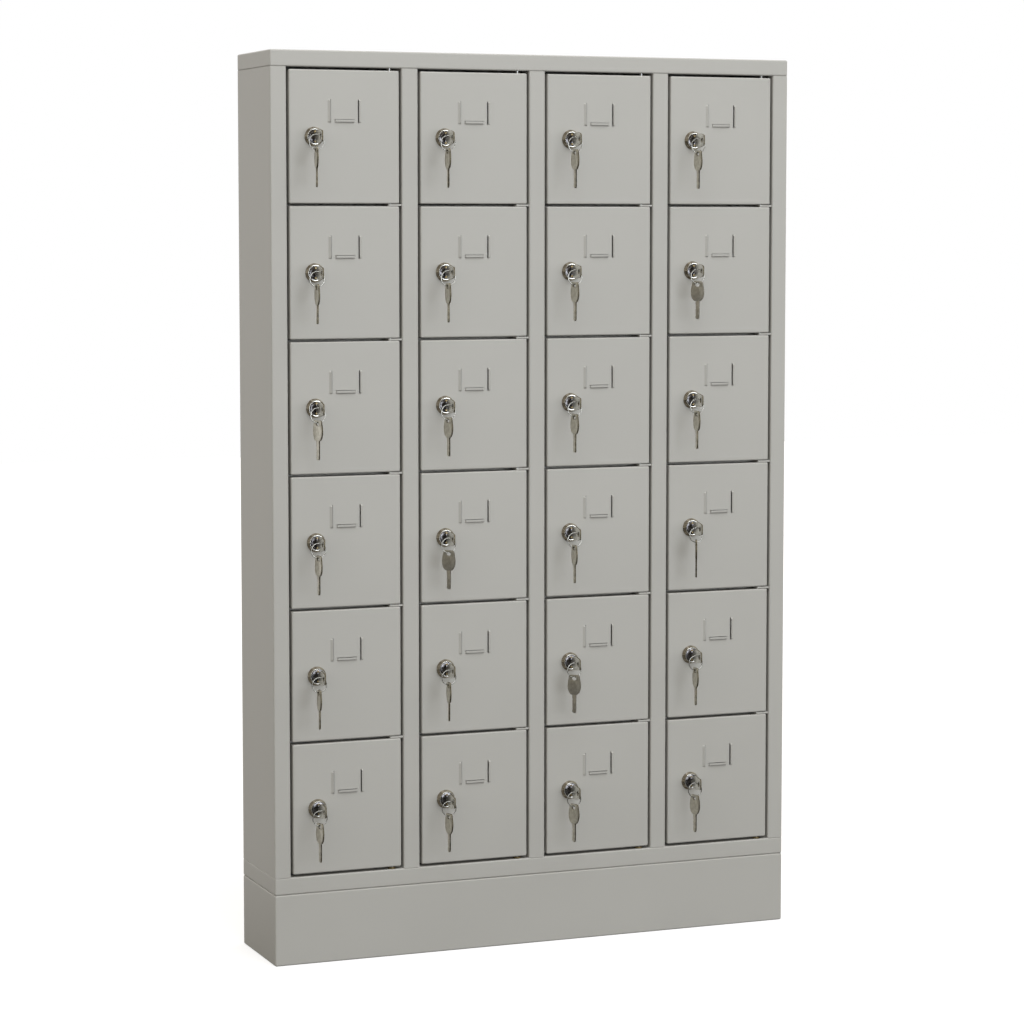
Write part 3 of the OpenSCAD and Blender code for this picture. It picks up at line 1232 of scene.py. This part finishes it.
@dataclass
class DoorPanel:
    """Door pan of folded sheet with three pressed card tabs and the lock's hole."""

    layout: Layout
    paint: bpy.types.Material
    sheet: float = 0.0012
    bend: float = 0.0016
    fold: float = 0.012
    card_width: float = 0.039
    card_height: float = 0.0255
    card_drop: float = 0.0315
    tab_width: float = 0.004
    foot: float = 0.023
    rise: float = 0.0016
    lip: float = 0.0007
    slot: float = 0.0009
    foot_slot: float = 0.0005
    side_slope: float = 0.0031
    foot_slope: float = 0.0014
    end_slope: float = 0.0014
    top_slope: float = 0.0020
    hole_radius: float = 0.00935
    hole_margin: float = 0.0125
    hole_facets: int = 12
    cell_match: float = 0.001
    line_space: float = 0.00005
    slope_steps: int = 6
    end_steps: int = 5
    tabs: list[CardTab] = field(default_factory=list)

    def build(self) -> None:
        """Makes the panel once and puts a copy at every door."""
        first = self.layout.doors[0]
        mesh = dressed(self._mesh(first), self.paint)
        for door in self.layout.doors:
            copy = mesh.copy()
            copy.name = f"door_panel_{door.label}"
            copy.transform(Matrix.Translation((door.left, self.layout.front, door.bottom)))
            body = f"door_{door.label}"
            add_piece(copy.name, copy, body, [body], flat=True)

    def _lay_out_tabs(self, door: DoorPlace) -> None:
        """Places the three card tabs on the door's face.

        Args:
            door: A door, in its own corner's frame.
        """
        left = (door.width - self.card_width) / 2
        right = left + self.card_width
        low = door.height - self.card_drop - self.card_height
        high = low + self.card_height
        middle = door.width / 2
        wide = self.tab_width
        self.tabs = [
            CardTab((left, low), (left + wide, high), Mouth.RIGHT, self.slot, self.side_slope),
            CardTab((right - wide, low), (right, high), Mouth.LEFT, self.slot, self.side_slope),
            CardTab(
                (middle - self.foot / 2, low), (middle + self.foot / 2, low + wide), Mouth.UP,
                self.foot_slot, self.foot_slope,
            ),
        ]

    def _stations(self, size: float, upward: bool, extra: Iterable[float]) -> list[float]:
        """Grid lines along one direction of the face.

        Args:
            size: Size of the door in this direction.
            upward: Whether the direction is up instead of across.
            extra: More lines.

        Returns:
            The lines in order, without doubles.
        """
        lines = {self.bend, size - self.bend, *extra}
        for tab in self.tabs:
            start, end = (tab.low[1], tab.high[1]) if upward else (tab.low[0], tab.high[0])
            if upward is (tab.mouth is Mouth.UP):
                back = tab.mouth is Mouth.LEFT
                lines |= {start, end, tab.free_edge}
                steps = [tab.slope * i / self.slope_steps for i in range(self.slope_steps + 1)]
                lines |= {end - step if back else start + step for step in steps}
            else:
                count = self.end_steps
                last = self.top_slope if upward else self.end_slope
                lines |= {start + self.end_slope * i / count for i in range(count + 1)}
                lines |= {end - last * i / count for i in range(count + 1)}
        ordered = sorted(lines)
        kept = [ordered[0]]
        for line in ordered[1:]:
            if line - kept[-1] > self.line_space:
                kept.append(line)
        return kept

    def _height(self, x: float, z: float, tab: CardTab | None) -> float:
        """Height of the face above its plane.

        Args:
            x: Place across the door.
            z: Place up the door.
            tab: Tab that the place belongs to, if any.

        Returns:
            The height in metres.
        """
        if tab is None:
            return 0.0
        aside, first, last = tab.across(x, z)
        far = self.end_slope if tab.mouth is Mouth.UP else self.top_slope
        ends = smooth_rise(first / self.end_slope) * smooth_rise(last / far)
        return self.rise * smooth_rise(aside / tab.slope) * ends

    def _behind(self, height: float) -> float:
        """Depth of the sheet's rear face where its front face stands proud.

        Args:
            height: Height of the front face, which thins the pressed sheet.

        Returns:
            The depth behind the door's plane.
        """
        return self.sheet - (self.sheet - self.lip) * height / self.rise - height

    def _mesh(self, door: DoorPlace) -> bpy.types.Mesh:
        """Makes the panel's mesh with its lower left front corner at the origin.

        Args:
            door: The door that gives the size and the lock's place.

        Returns:
            The mesh.
        """
        self._lay_out_tabs(door)
        lock_x = door.lock.x - door.left
        lock_z = door.lock.z - door.bottom
        reach = self.hole_margin
        xs = self._stations(door.width, False, (lock_x - reach, lock_x + reach))
        zs = self._stations(door.height, True, (lock_z - reach, lock_z + reach))
        shape = bmesh.new()
        self._face(shape, xs, zs, (lock_x, lock_z))
        self._walls(shape, door, xs, zs)
        return mesh_from("door_panel", shape)

    def _face(self, shape: bmesh.types.BMesh, xs: list[float], zs: list[float], lock: Pair) -> None:
        """Adds both sides of the front face, with the tabs and the lock's hole.

        Args:
            shape: Shape that the faces go to.
            xs: Grid lines across.
            zs: Grid lines up.
            lock: Centre of the lock's hole.
        """
        for layer, thick in ((0, 0.0), (1, self.sheet)):
            for x0, x1 in zip(xs, xs[1:]):
                for z0, z1 in zip(zs, zs[1:]):
                    centre = ((x0 + x1) / 2, (z0 + z1) / 2)
                    aside = max(abs(centre[0] - lock[0]), abs(centre[1] - lock[1]))
                    if aside < self.cell_match:
                        self._lock_cell(shape, (x0, z0), (x1, z1), lock, thick)
                        continue
                    tab = next((t for t in self.tabs if t.holds(*centre)), None)
                    places = [(x0, z0), (x1, z0), (x1, z1), (x0, z1)]
                    if tab is not None and tab.open_at(*centre):
                        if layer == 0:
                            self._slot_walls(shape, places, tab)
                        continue
                    ring = []
                    for x, z in places:
                        height = self._height(x, z, tab)
                        ring.append((x, self._behind(height) if layer else -height, z))
                    add_face(shape, ring)

    def _slot_walls(self, shape: bmesh.types.BMesh, places: list[Pair], tab: CardTab) -> None:
        """Closes the sheet's thickness round a tab's slot.

        Args:
            shape: Shape that the faces go to.
            places: Corners of one grid cell inside the slot.
            tab: The tab.
        """
        for first, last in zip(places, places[1:] + places[:1]):
            aside, start, end = tab.across((first[0] + last[0]) / 2, (first[1] + last[1]) / 2)
            lip = abs(aside - tab.width + tab.slot) < MERGE
            if not (lip or abs(aside - tab.width) < MERGE or min(start, end) < MERGE):
                continue
            heights = [self._height(x, z, tab) if lip else 0.0 for x, z in (first, last)]
            front = [(x, -height, z) for (x, z), height in zip((first, last), heights)]
            rear = [(x, self._behind(height), z) for (x, z), height in zip((first, last), heights)]
            add_face(shape, front + rear[::-1])

    def _lock_cell(
        self, shape: bmesh.types.BMesh, low: Pair, high: Pair, lock: Pair, thick: float
    ) -> None:
        """Adds the square of the face round the lock's hole, and the hole's wall.

        Args:
            shape: Shape that the faces go to.
            low: Lower left corner of the square.
            high: Upper right corner of the square.
            lock: Centre of the hole.
            thick: Depth of this side of the sheet.
        """
        corners = [(high[0], low[1]), high, (low[0], high[1]), low]
        quarter = self.hole_facets
        for number, corner in enumerate(corners):
            after = corners[(number + 1) % 4]
            arc = []
            for step in range(quarter + 1):
                angle = math.pi / 4 * (2 * number - 1) + math.pi / 2 * step / quarter
                across, up = math.cos(angle), math.sin(angle)
                arc.append((lock[0] + self.hole_radius * across, lock[1] + self.hole_radius * up))
            outline = [corner, after, *arc[::-1]]
            add_face(shape, [(x, thick, z) for x, z in outline])
            if thick:
                for (x0, z0), (x1, z1) in zip(arc, arc[1:]):
                    add_face(shape, [(x0, 0.0, z0), (x1, 0.0, z1), (x1, thick, z1), (x0, thick, z0)])

    def _walls(
        self, shape: bmesh.types.BMesh, door: DoorPlace, xs: list[float], zs: list[float]
    ) -> None:
        """Adds the folds round the face.

        Args:
            shape: Shape that the faces go to.
            door: The door that gives the size.
            xs: Grid lines across.
            zs: Grid lines up.
        """
        path = [(0.0, self.fold), (0.0, 0.0), (self.bend, 0.0)]
        outer, inner = sheet_section(path, self.sheet, self.bend)
        outline = Box((0.0, 0.0), (door.width, door.height))
        rings = [
            [(x, point.y, z) for x, z in outline.ring(point.x, self.bend, (xs, zs))]
            for point in inner[::-1] + outer
        ]
        for first, last in zip(rings, rings[1:]):
            size = len(first)
            for i in range(size):
                j = (i + 1) % size
                places = [first[i], first[j], last[j], last[i]]
                distinct = [
                    place for k, place in enumerate(places)
                    if (Vector(place) - Vector(places[k - 1])).length > MERGE
                ]
                if len(distinct) > 2:
                    add_face(shape, distinct)


@dataclass
class Key:
    """Flat stamped key with a stepped bow, a raised rim line and a cut blade.

    Its hole is at the origin, the bow's end towards +Y and the blade towards -Y.
    """

    thick: float = 0.0018
    bow_width: float = 0.01545
    end_width: float = 0.0115
    bow_length: float = 0.0225
    bow_widest: float = 0.45
    bow_step_top: float = 0.66
    bow_step_end: float = 0.85
    bow_step: float = 0.0012
    bow_corner: float = 0.0022
    neck: float = 0.008
    blade_length: float = 0.0205
    blade_width: float = 0.0044
    blade_thick: float = 0.0012
    blade_root: float = 0.001
    blade_edge: float = 0.0001
    tip_cut: float = 0.0014
    rail_width: float = 0.0017
    hole_in: float = 0.004
    hole_width: float = 0.0051
    hole_height: float = 0.0045
    rim_in: float = 0.0011
    rim_width: float = 0.0005
    rim_proud: float = 0.00012
    rim_edge: float = 0.9
    eye_rim: Pair = (1.42, 1.22)
    cuts: int = 4
    cut_depth: float = 0.0009
    first_cut: float = 0.001
    uncut: float = 0.006
    edge: float = 0.0002

    def _bow(self, inset: float) -> list[Pair]:
        """Outline of the bow at a distance inside its edge.

        Args:
            inset: Distance inside the edge.

        Returns:
            The outline.
        """
        end = self.hole_in - inset
        length = self.bow_length - inset
        half = [
            (self.end_width / 2 - inset, end),
            (self.bow_width / 2 - inset, end - self.bow_widest * length),
            (self.bow_width / 2 - inset, end - self.bow_step_top * length),
            (self.bow_width / 2 - self.bow_step - inset, end - self.bow_step_end * length),
            (self.neck / 2 - inset * 0.6, self.hole_in - self.bow_length + inset * 0.4),
        ]
        return softened(half + [(-x, y) for x, y in half[::-1]], self.bow_corner)

    def _blade(self, left: float, right: float, cut: bool) -> list[Pair]:
        """Outline of the blade or of a rail along it.

        Args:
            left: Left edge.
            right: Right edge.
            cut: Whether the right edge has the key's cuts.

        Returns:
            The outline.
        """
        top = self.hole_in - self.bow_length + self.blade_root
        tip = self.hole_in - self.bow_length - self.blade_length
        slant = self.tip_cut
        points = [
            (left, top), (left, tip + slant), (left + slant, tip),
            (right - slant, tip), (right, tip + slant),
        ]
        if cut:
            pitch = (self.blade_length - self.uncut) / self.cuts
            deep = self.cut_depth
            for number in range(1, self.cuts + 1):
                centre = tip + self.first_cut + number * pitch
                points += [(right, centre - deep), (right - deep, centre), (right, centre + deep)]
        return points + [(right, top)]

    def mesh(self, face: bpy.types.Material, edge: bpy.types.Material) -> bpy.types.Mesh:
        """Makes the key's mesh, with its faces and its stamped edges as separate finishes; the edges'
        finish is darker, as painted shade.

        Args:
            face: Finish of the flat faces.
            edge: Finish of the stamped edges, darker as painted shade.

        Returns:
            The mesh.
        """
        hole = [
            (x * self.hole_width / 2, y * self.hole_height / 2) for x, y in circle(1.0, 28)
        ]
        half = self.blade_width / 2
        rim = [self._bow(self.rim_in), self._bow(self.rim_in + self.rim_width)]
        eye = [[(x * k, y * k) for x, y in hole] for k in self.eye_rim]
        proud = self.thick + 2 * self.rim_proud
        soft = self.rim_proud * self.rim_edge
        parts = [
            plate("bow", [self._bow(0.0), hole], self.thick, self.edge),
            plate("rim", rim, proud, soft),
            plate("eye", eye, proud, soft),
            plate("blade", [self._blade(-half, half, True)], self.blade_thick, self.blade_edge),
            plate(
                "rail", [self._blade(-half, -half + self.rail_width, False)],
                self.thick, self.blade_edge,
            ),
        ]
        mesh = joined("key", [(part, UNMOVED, 0) for part in parts])
        # Edges take the dark second finish: painted shade.
        for side in mesh.polygons:
            side.material_index = 0 if abs(side.normal.z) > 0.6 else 1
        return dressed(mesh, face, edge)


@dataclass
class SplitRing:
    """Spring-steel ring of two turns that lie side by side."""

    diameter: float = 0.0174
    wire: float = 0.001
    lean: float = 42.0
    turns: int = 2
    steps: int = 64
    start: float = 70.0
    thin: float = 0.27
    tall: float = 0.45
    apart: float = 0.28
    crossing: float = 0.94
    crossing_length: float = 0.12

    @property
    def radius(self) -> float:
        """Radius of the wire's centre line."""
        return (self.diameter - self.wire) / 2

    @property
    def centre(self) -> Pair:
        """Centre of the ring, seen from the key's hole that it passes through."""
        angle = math.radians(self.lean)
        return (-self.radius * math.sin(angle), -self.radius * math.cos(angle))

    def mesh(self, finishes: Finishes) -> bpy.types.Mesh:
        """Makes the ring round the Z axis.

        Args:
            finishes: The cabinet's materials.

        Returns:
            The mesh.
        """
        thin = self.wire * self.thin
        tall = self.wire * self.tall
        rings = []
        for step in range(self.turns * self.steps + 1):
            turn = step / self.steps
            angle = math.tau * turn + math.radians(self.start)
            crossed = smooth_rise((turn - self.crossing) / self.crossing_length)
            shift = (2 * crossed - 1) * self.wire * self.apart
            ring = []
            for corner in circle(1.0, 8):
                r = self.radius + tall * corner[0]
                ring.append((r * math.cos(angle), r * math.sin(angle), shift + thin * corner[1]))
            rings.append(ring)
        return dressed(lofted("split_ring", rings), finishes.ring)


@dataclass
class CamLock:
    """Lock of one door, made in its own frame: x right, y up and z out of the door."""

    finishes: Finishes
    bezel_radius: float = 0.0105
    bezel_height: float = 0.0046
    barrel_radius: float = 0.0093
    plug_radius: float = 0.0075
    clearance: float = 0.00005
    seat: float = 0.00005
    plug_back: float = 0.0155
    plug_set: float = 0.0004
    rim_width: float = 0.0009
    nut_across: float = 0.024
    nut_thick: float = 0.005
    door_sheet: float = 0.0012
    cam_length: float = 0.0378
    cam_width: float = 0.012
    cam_thick: float = 0.002
    screw_across: float = 0.008
    screw_thick: float = 0.003
    thread: float = 0.0010
    thread_depth: float = 0.00035
    thread_start: float = 0.0008
    barrel_edge: float = 0.0004
    bezel_edge: float = 0.0002
    flank_top: float = 0.0006
    cone_foot: Pair = (0.00025, 0.0009)
    rim_edge: float = 0.0001
    rim_drop: float = 0.0003
    rim_depth: float = 0.00032
    nut_edge: float = 0.0005
    keyway_half: Pair = (0.00112, 0.00245)
    keyway_wave: float = 0.00022
    keyway_steps: int = 10
    digit_size: float = 0.0017
    digit_proud: float = 0.00012
    digit_reach: float = 0.0056
    digit_turn: float = 24.0
    mark_half: Pair = (0.00125, 0.001)
    mark_corner: float = 0.0002
    mark_reach: float = 0.0053
    mark_thick: float = 0.0003
    mark_edge: float = 0.00005
    plug_edge: float = 0.00025
    cam_edge: float = 0.0003
    screw_face: float = 0.0006
    screw_face_shown: float = 0.0004
    screw_edge: float = 0.0005

    @property
    def face(self) -> float:
        """Height of the plug's face above the door."""
        return self.bezel_height - self.plug_set

    def housing(self) -> bpy.types.Mesh:
        """Bezel and threaded barrel, bored for the plug.

        Returns:
            The mesh. Its first finish is the cone and its second the rim's edge, brighter as a painted
            highlight.
        """
        bore = self.plug_radius + self.clearance
        rim = bore + self.rim_width
        back = -self.plug_back
        top = self.bezel_height
        wide = self.bezel_radius
        barrel = self.barrel_radius
        soft, drop = self.bezel_edge, self.rim_drop
        profile = [
            (bore, back), (barrel - self.barrel_edge, back), (barrel, back + self.barrel_edge),
        ]
        z = back + self.thread_start
        while z < -self.door_sheet - self.seat - self.nut_thick - self.thread:
            profile += [(barrel, z), (barrel - self.thread_depth, z + self.thread / 2)]
            z += self.thread
        profile += [
            (barrel, z), (barrel, self.seat), (wide - soft, self.seat), (wide, self.seat + soft),
            (wide, self.flank_top), (wide - self.cone_foot[0], self.cone_foot[1]),
            (rim + soft, top - drop), (rim, top - self.rim_edge), (rim - self.rim_edge, top),
            (bore + drop, top), (bore, top - drop),
        ]
        mesh = turned("lock_housing", profile, 64, 25.0)
        # Faces of the rim take the brighter finish, a painted highlight.
        for face in mesh.polygons:
            reach = math.hypot(face.center.x, face.center.y)
            on_rim = face.center.z > top - self.rim_depth and reach < rim + soft
            face.material_index = 1 if on_rim else 0
        return dressed(mesh, self.finishes.nickel, self.finishes.rim)

    def nut(self) -> bpy.types.Mesh:
        """Hexagonal nut behind the door.

        Returns:
            The mesh.
        """
        hole = circle(self.barrel_radius + self.seat, 48)
        outlines = [hexagon(self.nut_across), hole]
        mesh = plate("lock_nut", outlines, self.nut_thick, self.nut_edge)
        mesh.transform(lifted(-self.door_sheet - self.seat - self.nut_thick / 2))
        return dressed(mesh, self.finishes.zinc)

    def _keyway(self) -> list[Pair]:
        """Outline of the slot, with a wavy pair of sides.

        Returns:
            The outline.
        """
        half_wide, half_tall = self.keyway_half
        steps = self.keyway_steps
        right, left = [], []
        for step in range(steps + 1):
            y = half_tall * (2 * step / steps - 1)
            wave = self.keyway_wave * math.sin(step * math.pi * 0.8)
            right.append((half_wide + wave, y))
            left.append((wave - half_wide, y))
        return right + left[::-1]

    def _digit(self, body: str) -> bpy.types.Mesh:
        """Raised digit, centred on the origin.

        Args:
            body: The digit.

        Returns:
            The mesh.
        """
        text = bpy.data.curves.new("digit", "FONT")
        text.body = body
        text.size = self.digit_size
        text.align_x = "CENTER"
        text.align_y = "CENTER"
        text.extrude = self.digit_proud
        text.resolution_u = 2
        return mesh_of_curve("digit", text)

    def plug(self) -> bpy.types.Mesh:
        """Turning plug: keyway, two brass plates and plain digits from 0 to 9 in two arcs.

        Returns:
            The mesh.
        """
        length = self.face + self.plug_back
        middle = (self.face - self.plug_back) / 2
        outlines = [circle(self.plug_radius, 64), self._keyway()]
        parts = [(plate("plug", outlines, length, self.plug_edge), lifted(middle), 0)]
        x, y = self.mark_half
        mark = softened([(-x, -y), (x, -y), (x, y), (-x, y)], self.mark_corner)
        for side in (-1, 1):
            raised = plate("mark", [mark], self.mark_thick, self.mark_edge)
            place = Matrix.Translation((0.0, side * self.mark_reach, self.face))
            parts.append((raised, place, 1))
        for number in range(10):
            side = -1 if number < 5 else 1
            tilt = math.radians(self.digit_turn) * (2 - number % 5)
            turn = Matrix.Rotation(-side * tilt, 4, "Z")
            reach = side * self.digit_reach
            place = Matrix.Translation((reach * math.cos(tilt), reach * math.sin(tilt), self.face))
            parts.append((self._digit(str((number + 1) % 10)), place @ turn, 2))
        mesh = joined("lock_plug", parts)
        return dressed(mesh, self.finishes.plug, self.finishes.brass, self.finishes.rim)

    def cam(self) -> bpy.types.Mesh:
        """Cam on the plug's end, hanging down at rest.

        Returns:
            The mesh.
        """
        half = self.cam_width / 2
        low = -self.cam_length
        start = -math.acos(half / self.plug_radius)
        sweep = math.pi - 2 * start
        turns = [start + sweep * i / 40 for i in range(41)]
        radius = self.plug_radius
        boss = [(radius * math.cos(turn), radius * math.sin(turn)) for turn in turns]
        arm = [(-half, low + half / 2), (-half / 2, low), (half / 2, low), (half, low + half / 2)]
        mesh = plate("cam", [boss + arm], self.cam_thick, self.cam_edge)
        mesh.transform(lifted(-self.plug_back - self.seat - self.cam_thick / 2))
        return dressed(mesh, self.finishes.zinc)

    def screw(self) -> bpy.types.Mesh:
        """Hexagonal screw that holds the cam, with a washer face.

        Returns:
            The mesh.
        """
        seat = -self.plug_back - self.cam_thick - 2 * self.seat
        shown = self.screw_face_shown
        thick = self.screw_thick - shown
        round_face = [circle(self.screw_across / 2, 40)]
        washer = plate("face", round_face, self.screw_face, self.rim_edge)
        head = plate("head", [hexagon(self.screw_across)], thick, self.screw_edge)
        parts = [
            (washer, lifted(seat - self.screw_face / 2), 0),
            (head, lifted(seat - shown - thick / 2), 0),
        ]
        return dressed(joined("cam_screw", parts), self.finishes.zinc)


@dataclass
class LockSets:
    """The 24 locks with their keys, rings and spare keys."""

    layout: Layout
    finishes: Finishes
    key: Key = field(default_factory=Key)
    ring: SplitRing = field(default_factory=SplitRing)
    key_stand: float = 0.003
    spare_gap: float = 0.0008
    spare_turns: tuple[tuple[int, ...], ...] = (
        (-7, 0, 8, 8),
        (-1, 0, 10, 50),
        (21, 16, 10, 1),
        (9, 50, -1, -23),
        (-3, -5, 50, -3),
        (12, 10, 24, 18),
    )

    def build(self) -> None:
        """Makes each kind of piece once and puts one of each at every door."""
        lock = CamLock(self.finishes)
        hole = lock.face + self.key_stand + self.key.bow_length - self.key.hole_in
        inserted = lifted(hole) @ Matrix.Rotation(math.pi / 2, 4, "Z") @ UPRIGHT
        x, y = self.ring.centre
        drop = (self.key.hole_width - self.ring.wire) / 2 - self.spare_gap
        hung = Matrix.Translation((x, y - self.ring.radius - drop, hole))
        # Inserted keys wear the lighter copy of the key nickel, a painted highlight; every key's edges
        # are darker, painted shade.
        edge = self.finishes.key_edge
        key = self.key.mesh(self.finishes.key_bright, edge)
        spare = self.key.mesh(self.finishes.key_face, edge)
        still = {
            "lock_housing": (lock.housing(), "lock_nickel", UNMOVED),
            "lock_nut": (lock.nut(), "pin_steel", UNMOVED),
            "key_ring": (
                self.ring.mesh(self.finishes), "lock_nickel", Matrix.Translation((x, y, hole))
            ),
        }
        turning = {
            "lock_plug": (lock.plug(), "lock_nickel", UNMOVED),
            "lock_cam": (lock.cam(), "pin_steel", UNMOVED),
            "cam_screw": (lock.screw(), "pin_steel", UNMOVED),
            "key": (key, "lock_nickel", inserted),
        }
        for door in self.layout.doors:
            at_lock = Matrix.Translation(door.lock) @ UPRIGHT
            body = f"door_{door.label}"
            for name, (mesh, slot, place) in still.items():
                add_piece(f"{name}_{door.label}", mesh, body, [body], at_lock @ place)
            yaw = self.spare_turns[door.row - 1][door.column - 1]
            hung_there = at_lock @ hung @ Matrix.Rotation(math.radians(90 + yaw), 4, "Y")
            spare_name = f"spare_key_{door.label}"
            add_piece(spare_name, spare, body, [body], hung_there)
            body, node = f"lock_{door.label}", f"lock_core_{door.label}"
            for name, (mesh, slot, place) in turning.items():
                add_piece(f"{name}_{door.label}", mesh, body, [node], at_lock @ place)


@dataclass(frozen=True)
class Lamp:
    """Soft rectangular lamp."""

    name: str
    place: tuple[float, float, float]
    target: tuple[float, float, float]
    size: Pair
    power: float

    def build(self, colour: Colour) -> None:
        """Puts the lamp in the scene.

        Args:
            colour: Colour of its light.
        """
        data = bpy.data.lights.new(self.name, "AREA")
        data.shape = "RECTANGLE"
        data.size, data.size_y = self.size
        data.energy = self.power
        data.color = colour
        lamp = bpy.data.objects.new(self.name, data)
        lamp.location = self.place
        aim = Vector(self.target) - Vector(self.place)
        lamp.rotation_euler = aim.to_track_quat("-Z", "Y").to_euler()
        bpy.context.scene.collection.objects.link(lamp)


@dataclass
class Studio:
    """Camera, lamps, floor and surround."""

    layout: Layout
    focal_pixels: float = 3053.1
    picture: int = 1024
    centre_row: float = 480.0
    yaw: float = 21.842
    pitch: float = -4.810
    eye: tuple[float, float, float] = (-0.9853, -3.1560, 0.8141)
    ambient: Colour = (0.928, 0.882, 0.812)
    room: Colour = (0.24, 0.22, 0.18)
    lamplight: Colour = (0.879, 0.932, 1.0)
    floor_size: float = 14.0
    floor_lit: Colour = (0.08, 0.08, 0.08)
    floor_seen: Colour = (0.5, 0.5, 0.5)
    floor_glow: float = 0.62
    floor_far_glow: float = 0.16
    floor_far: Pair = (1.2, 4.0)
    floor_mirrored: Pair = (-0.2, 0.6)
    backdrop_mirrored: Pair = (-0.05, 0.45)
    lamps: tuple[Lamp, ...] = (
        Lamp("front_light", (0.9, -3.6, 0.6), (0.0, 0.0, 0.35), (2.2, 1.0), 34.0),
        Lamp("overhead_light", (0.2, -1.5, 3.3), (0.0, -0.1, 0.7), (2.6, 1.8), 51.3),
    )

    def build(self) -> None:
        """Makes everything round the cabinet."""
        self._camera()
        self._floor()
        self._surround()
        for lamp in self.lamps:
            lamp.build(self.lamplight)

    def _camera(self) -> None:
        """Camera at the photograph's place, measured from the cabinet's left front foot."""
        data = bpy.data.cameras.new("camera")
        data.sensor_width = 36.0
        data.lens = self.focal_pixels * data.sensor_width / self.picture
        data.shift_y = (self.centre_row - self.picture / 2) / self.picture
        data.clip_end = 100.0
        camera = bpy.data.objects.new("camera", data)
        x, y, z = self.eye
        camera.location = (x + self.layout.left, y + self.layout.front, z)
        camera.rotation_euler = (math.radians(90 + self.pitch), 0.0, math.radians(-self.yaw))
        bpy.context.scene.collection.objects.link(camera)
        bpy.context.scene.camera = camera

    def _floor(self) -> None:
        """White floor that still takes the cabinet's shadow."""
        half = self.floor_size / 2
        mesh = bpy.data.meshes.new("floor")
        corners = [(-half, -half, 0.0), (half, -half, 0.0), (half, half, 0.0), (-half, half, 0.0)]
        mesh.from_pydata(corners, [], [(0, 1, 2, 3)])
        floor = bpy.data.objects.new("floor", mesh)
        bpy.context.scene.collection.objects.link(floor)
        material = bpy.data.materials.new("floor_white")
        graph = Graph(material)
        camera, mirrored = self._rays(graph)
        grey = graph.blended(camera, self.floor_lit, self.floor_seen)
        matt = graph.node("ShaderNodeBsdfDiffuse", inputs={"Color": grey})
        away = graph.node("ShaderNodeVectorMath", {"operation": "LENGTH"}, {0: graph.place()}, "Value")
        depth = graph.node("ShaderNodeSeparateXYZ", inputs={0: graph.place()}, output="Y")
        glow = self.floor_glow + away.spread(*self.floor_far) * self.floor_far_glow
        strength = (camera + mirrored * depth.spread(*self.floor_mirrored)) * glow
        shine = graph.node("ShaderNodeEmission", inputs={"Strength": strength})
        both = graph.node("ShaderNodeAddShader", inputs={0: matt, 1: shine})
        graph.node("ShaderNodeOutputMaterial", inputs={"Surface": both})
        dressed(mesh, material)

    def _rays(self, graph: Graph) -> tuple[Signal, Signal]:
        """Marks the rays from the camera, and those from glossy surfaces and through glass.

        Args:
            graph: Graph that the nodes go to.

        Returns:
            1 for a ray from the camera, and 1 for a mirrored or passing ray.
        """
        camera = graph.node("ShaderNodeLightPath", output="Is Camera Ray")
        glossy = graph.node("ShaderNodeLightPath", output="Is Glossy Ray")
        through = graph.node("ShaderNodeLightPath", output="Is Transmission Ray")
        return camera, glossy + through

    def _surround(self) -> None:
        """White backdrop all round for the camera, and a dimmer room as a source of light.

        Metal mirrors the backdrop behind the cabinet and the dim room in front of it.
        """
        world = bpy.data.worlds.new("surround")
        bpy.context.scene.world = world
        graph = Graph(world)
        camera, mirrored = self._rays(graph)
        direction = graph.node("ShaderNodeTexCoord", output="Generated")
        depth = graph.node("ShaderNodeSeparateXYZ", inputs={0: direction}, output="Y")
        lift = graph.node("ShaderNodeSeparateXYZ", inputs={0: direction}, output="Z")
        backdrop = (depth + lift * 0.5).spread(*self.backdrop_mirrored)
        room = graph.blended(mirrored, self.ambient, self.room)
        colour = graph.blended(camera + mirrored * backdrop, room, (1.0, 1.0, 1.0))
        white = graph.node("ShaderNodeBackground", inputs={"Color": colour, "Strength": 1.0})
        graph.node("ShaderNodeOutputWorld", inputs={"Surface": white})


def main() -> None:
    """Builds the cabinet and the studio in order."""
    logging.basicConfig(level=logging.INFO, format="%(message)s")
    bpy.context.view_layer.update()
    bpy.context.scene.view_settings.view_transform = "Standard"
    layout = Layout.read()
    finishes = Finishes.build()
    Studio(layout).build()
    Casing(layout, finishes.paint).build()
    Hinges(layout, finishes.paint, finishes.zinc, finishes.brass).build()
    DoorPanel(layout, finishes.paint).build()
    LockSets(layout, finishes).build()


if __name__ == "__main__":
    main()
